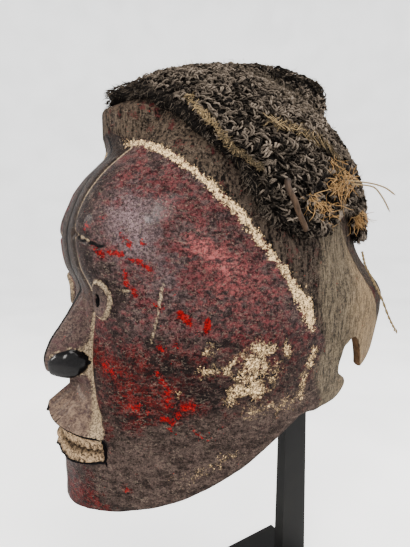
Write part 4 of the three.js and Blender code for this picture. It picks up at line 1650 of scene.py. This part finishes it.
def build_strand():
    """Two plies wound about one line. They part where the free end splits."""
    line = smooth_line(STRAND, STRAND_POINTS)
    along = unit(np.gradient(line, axis=0))
    across = unit(np.cross(along, [1.0, 0, 0]))
    other = np.cross(along, across)
    share = np.linspace(0, 1, len(line))[:, None]
    turn = share * STRAND_TURNS * 2 * math.pi
    apart = 0.45 * STRAND_RADIUS + 0.5 * ease(0.9, 1.0, share)
    offset = (across * np.cos(turn) + other * np.sin(turn)) * apart
    plies = np.stack([line + offset, line - offset])
    radius = np.full(plies.shape[:2], 0.55 * STRAND_RADIUS)
    made = tubes("strand_twisted", plies, np.tile([1.0, 0.0, 0.1], (2, 1)), radius, radius, 7,
                 np.tile([0.5, 0.9, 0.4], (2, 1)))
    path = in_metres(line)
    length = float(np.linalg.norm(np.diff(path, axis=0), axis=1).sum())
    return made, path, length


strand, strand_path, strand_length = build_strand()
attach(strand, "root")
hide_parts("hanging_strand")
tuple(strand_path[0])
[tuple(q) for q in strand_path]
print("hanging strand:", round(strand_length, 4), "m long")


# %% Finishes of the fibre
def fibre_finish(name, dark, pale, brown, tan):
    """Dull fibre: dark to pale by the first field, brown to tan by the second."""
    f = Finish(name)
    light, worn, chance = f.field("tint")
    streak = f.noise(0.7, 3, 0.7)
    lumps = f.noise(6, 4, 0.6, seed=2.0)
    black = f.mix((light * 0.8 + (streak - 0.5) * 1.3).rise(0.15, 1.0), dark, pale)
    gold = f.mix((light * 0.7 + (streak - 0.5) * 0.8).rise(0.0, 0.8), brown, tan)
    gold = f.mix(chance.rise(0.5, 0.7) * 0.5, gold, paint(206, 182, 132))
    colour = f.mix((worn + (lumps - 0.5) * 0.5).rise(0.3, 0.75), black, gold)
    return f.done(0.015, Base_Color=colour, Roughness=0.75, Normal=f.bump(streak, 0.3, 0.9))


knotted = fibre_finish("knotted_fibre", paint(26, 23, 21), paint(174, 164, 152),
                       paint(44, 38, 30), paint(130, 116, 93))
raffia = fibre_finish("raffia", paint(66, 58, 48), paint(150, 140, 126),
                      paint(82, 73, 58), paint(206, 194, 166))
for made in (underlayer, *knots, fuzz, fringe):
    made.data.materials.append(knotted)
for made in (frays, loose, strand):
    made.data.materials.append(raffia)


def twig_finish():
    """Brown bark with fine lines along it, darker where it is gripped by the cap."""
    f = Finish("twig_bark")
    grain = f.noise(2.4, 4, 0.7, f.scaled(1, 1, 0.2))
    colour = f.mix(grain.rise(0.35, 0.65), paint(58, 42, 32), paint(118, 92, 68))
    colour = f.mix(f.height().rise(0.341, 0.350), colour, paint(38, 28, 24))
    return f.done(0.08, Base_Color=colour, Roughness=0.6, Normal=f.bump(grain, 0.4, 0.9))


twig.data.materials.append(twig_finish())

# %% [markdown]
# ## The black stand
#
# The bar and the plate are flat steel under satin black paint. Their solids are
# already right, so they only get the paint, with a faint orange-peel surface.


# %% The stand's finish
def stand_finish():
    f = Finish("black_steel")
    peel = f.noise(0.9, 2)
    rubbed = f.noise(26, 4, 0.6)
    colour = f.mix(rubbed.rise(0.45, 0.7), paint(26, 26, 26), paint(38, 38, 36))
    return f.done(0.06, Base_Color=colour, Roughness=0.38 + rubbed * 0.25, Normal=f.bump(peel, 0.05, 0.4))


black_steel = stand_finish()
for name in ("stand_post", "stand_plate"):
    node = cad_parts[name]
    node.data.materials.clear()
    node.data.materials.append(black_steel)

# %% [markdown]
# ## Sizes
#
# The looks may stand a little proud of the solids.

# %% The last update
bpy.context.view_layer.update()
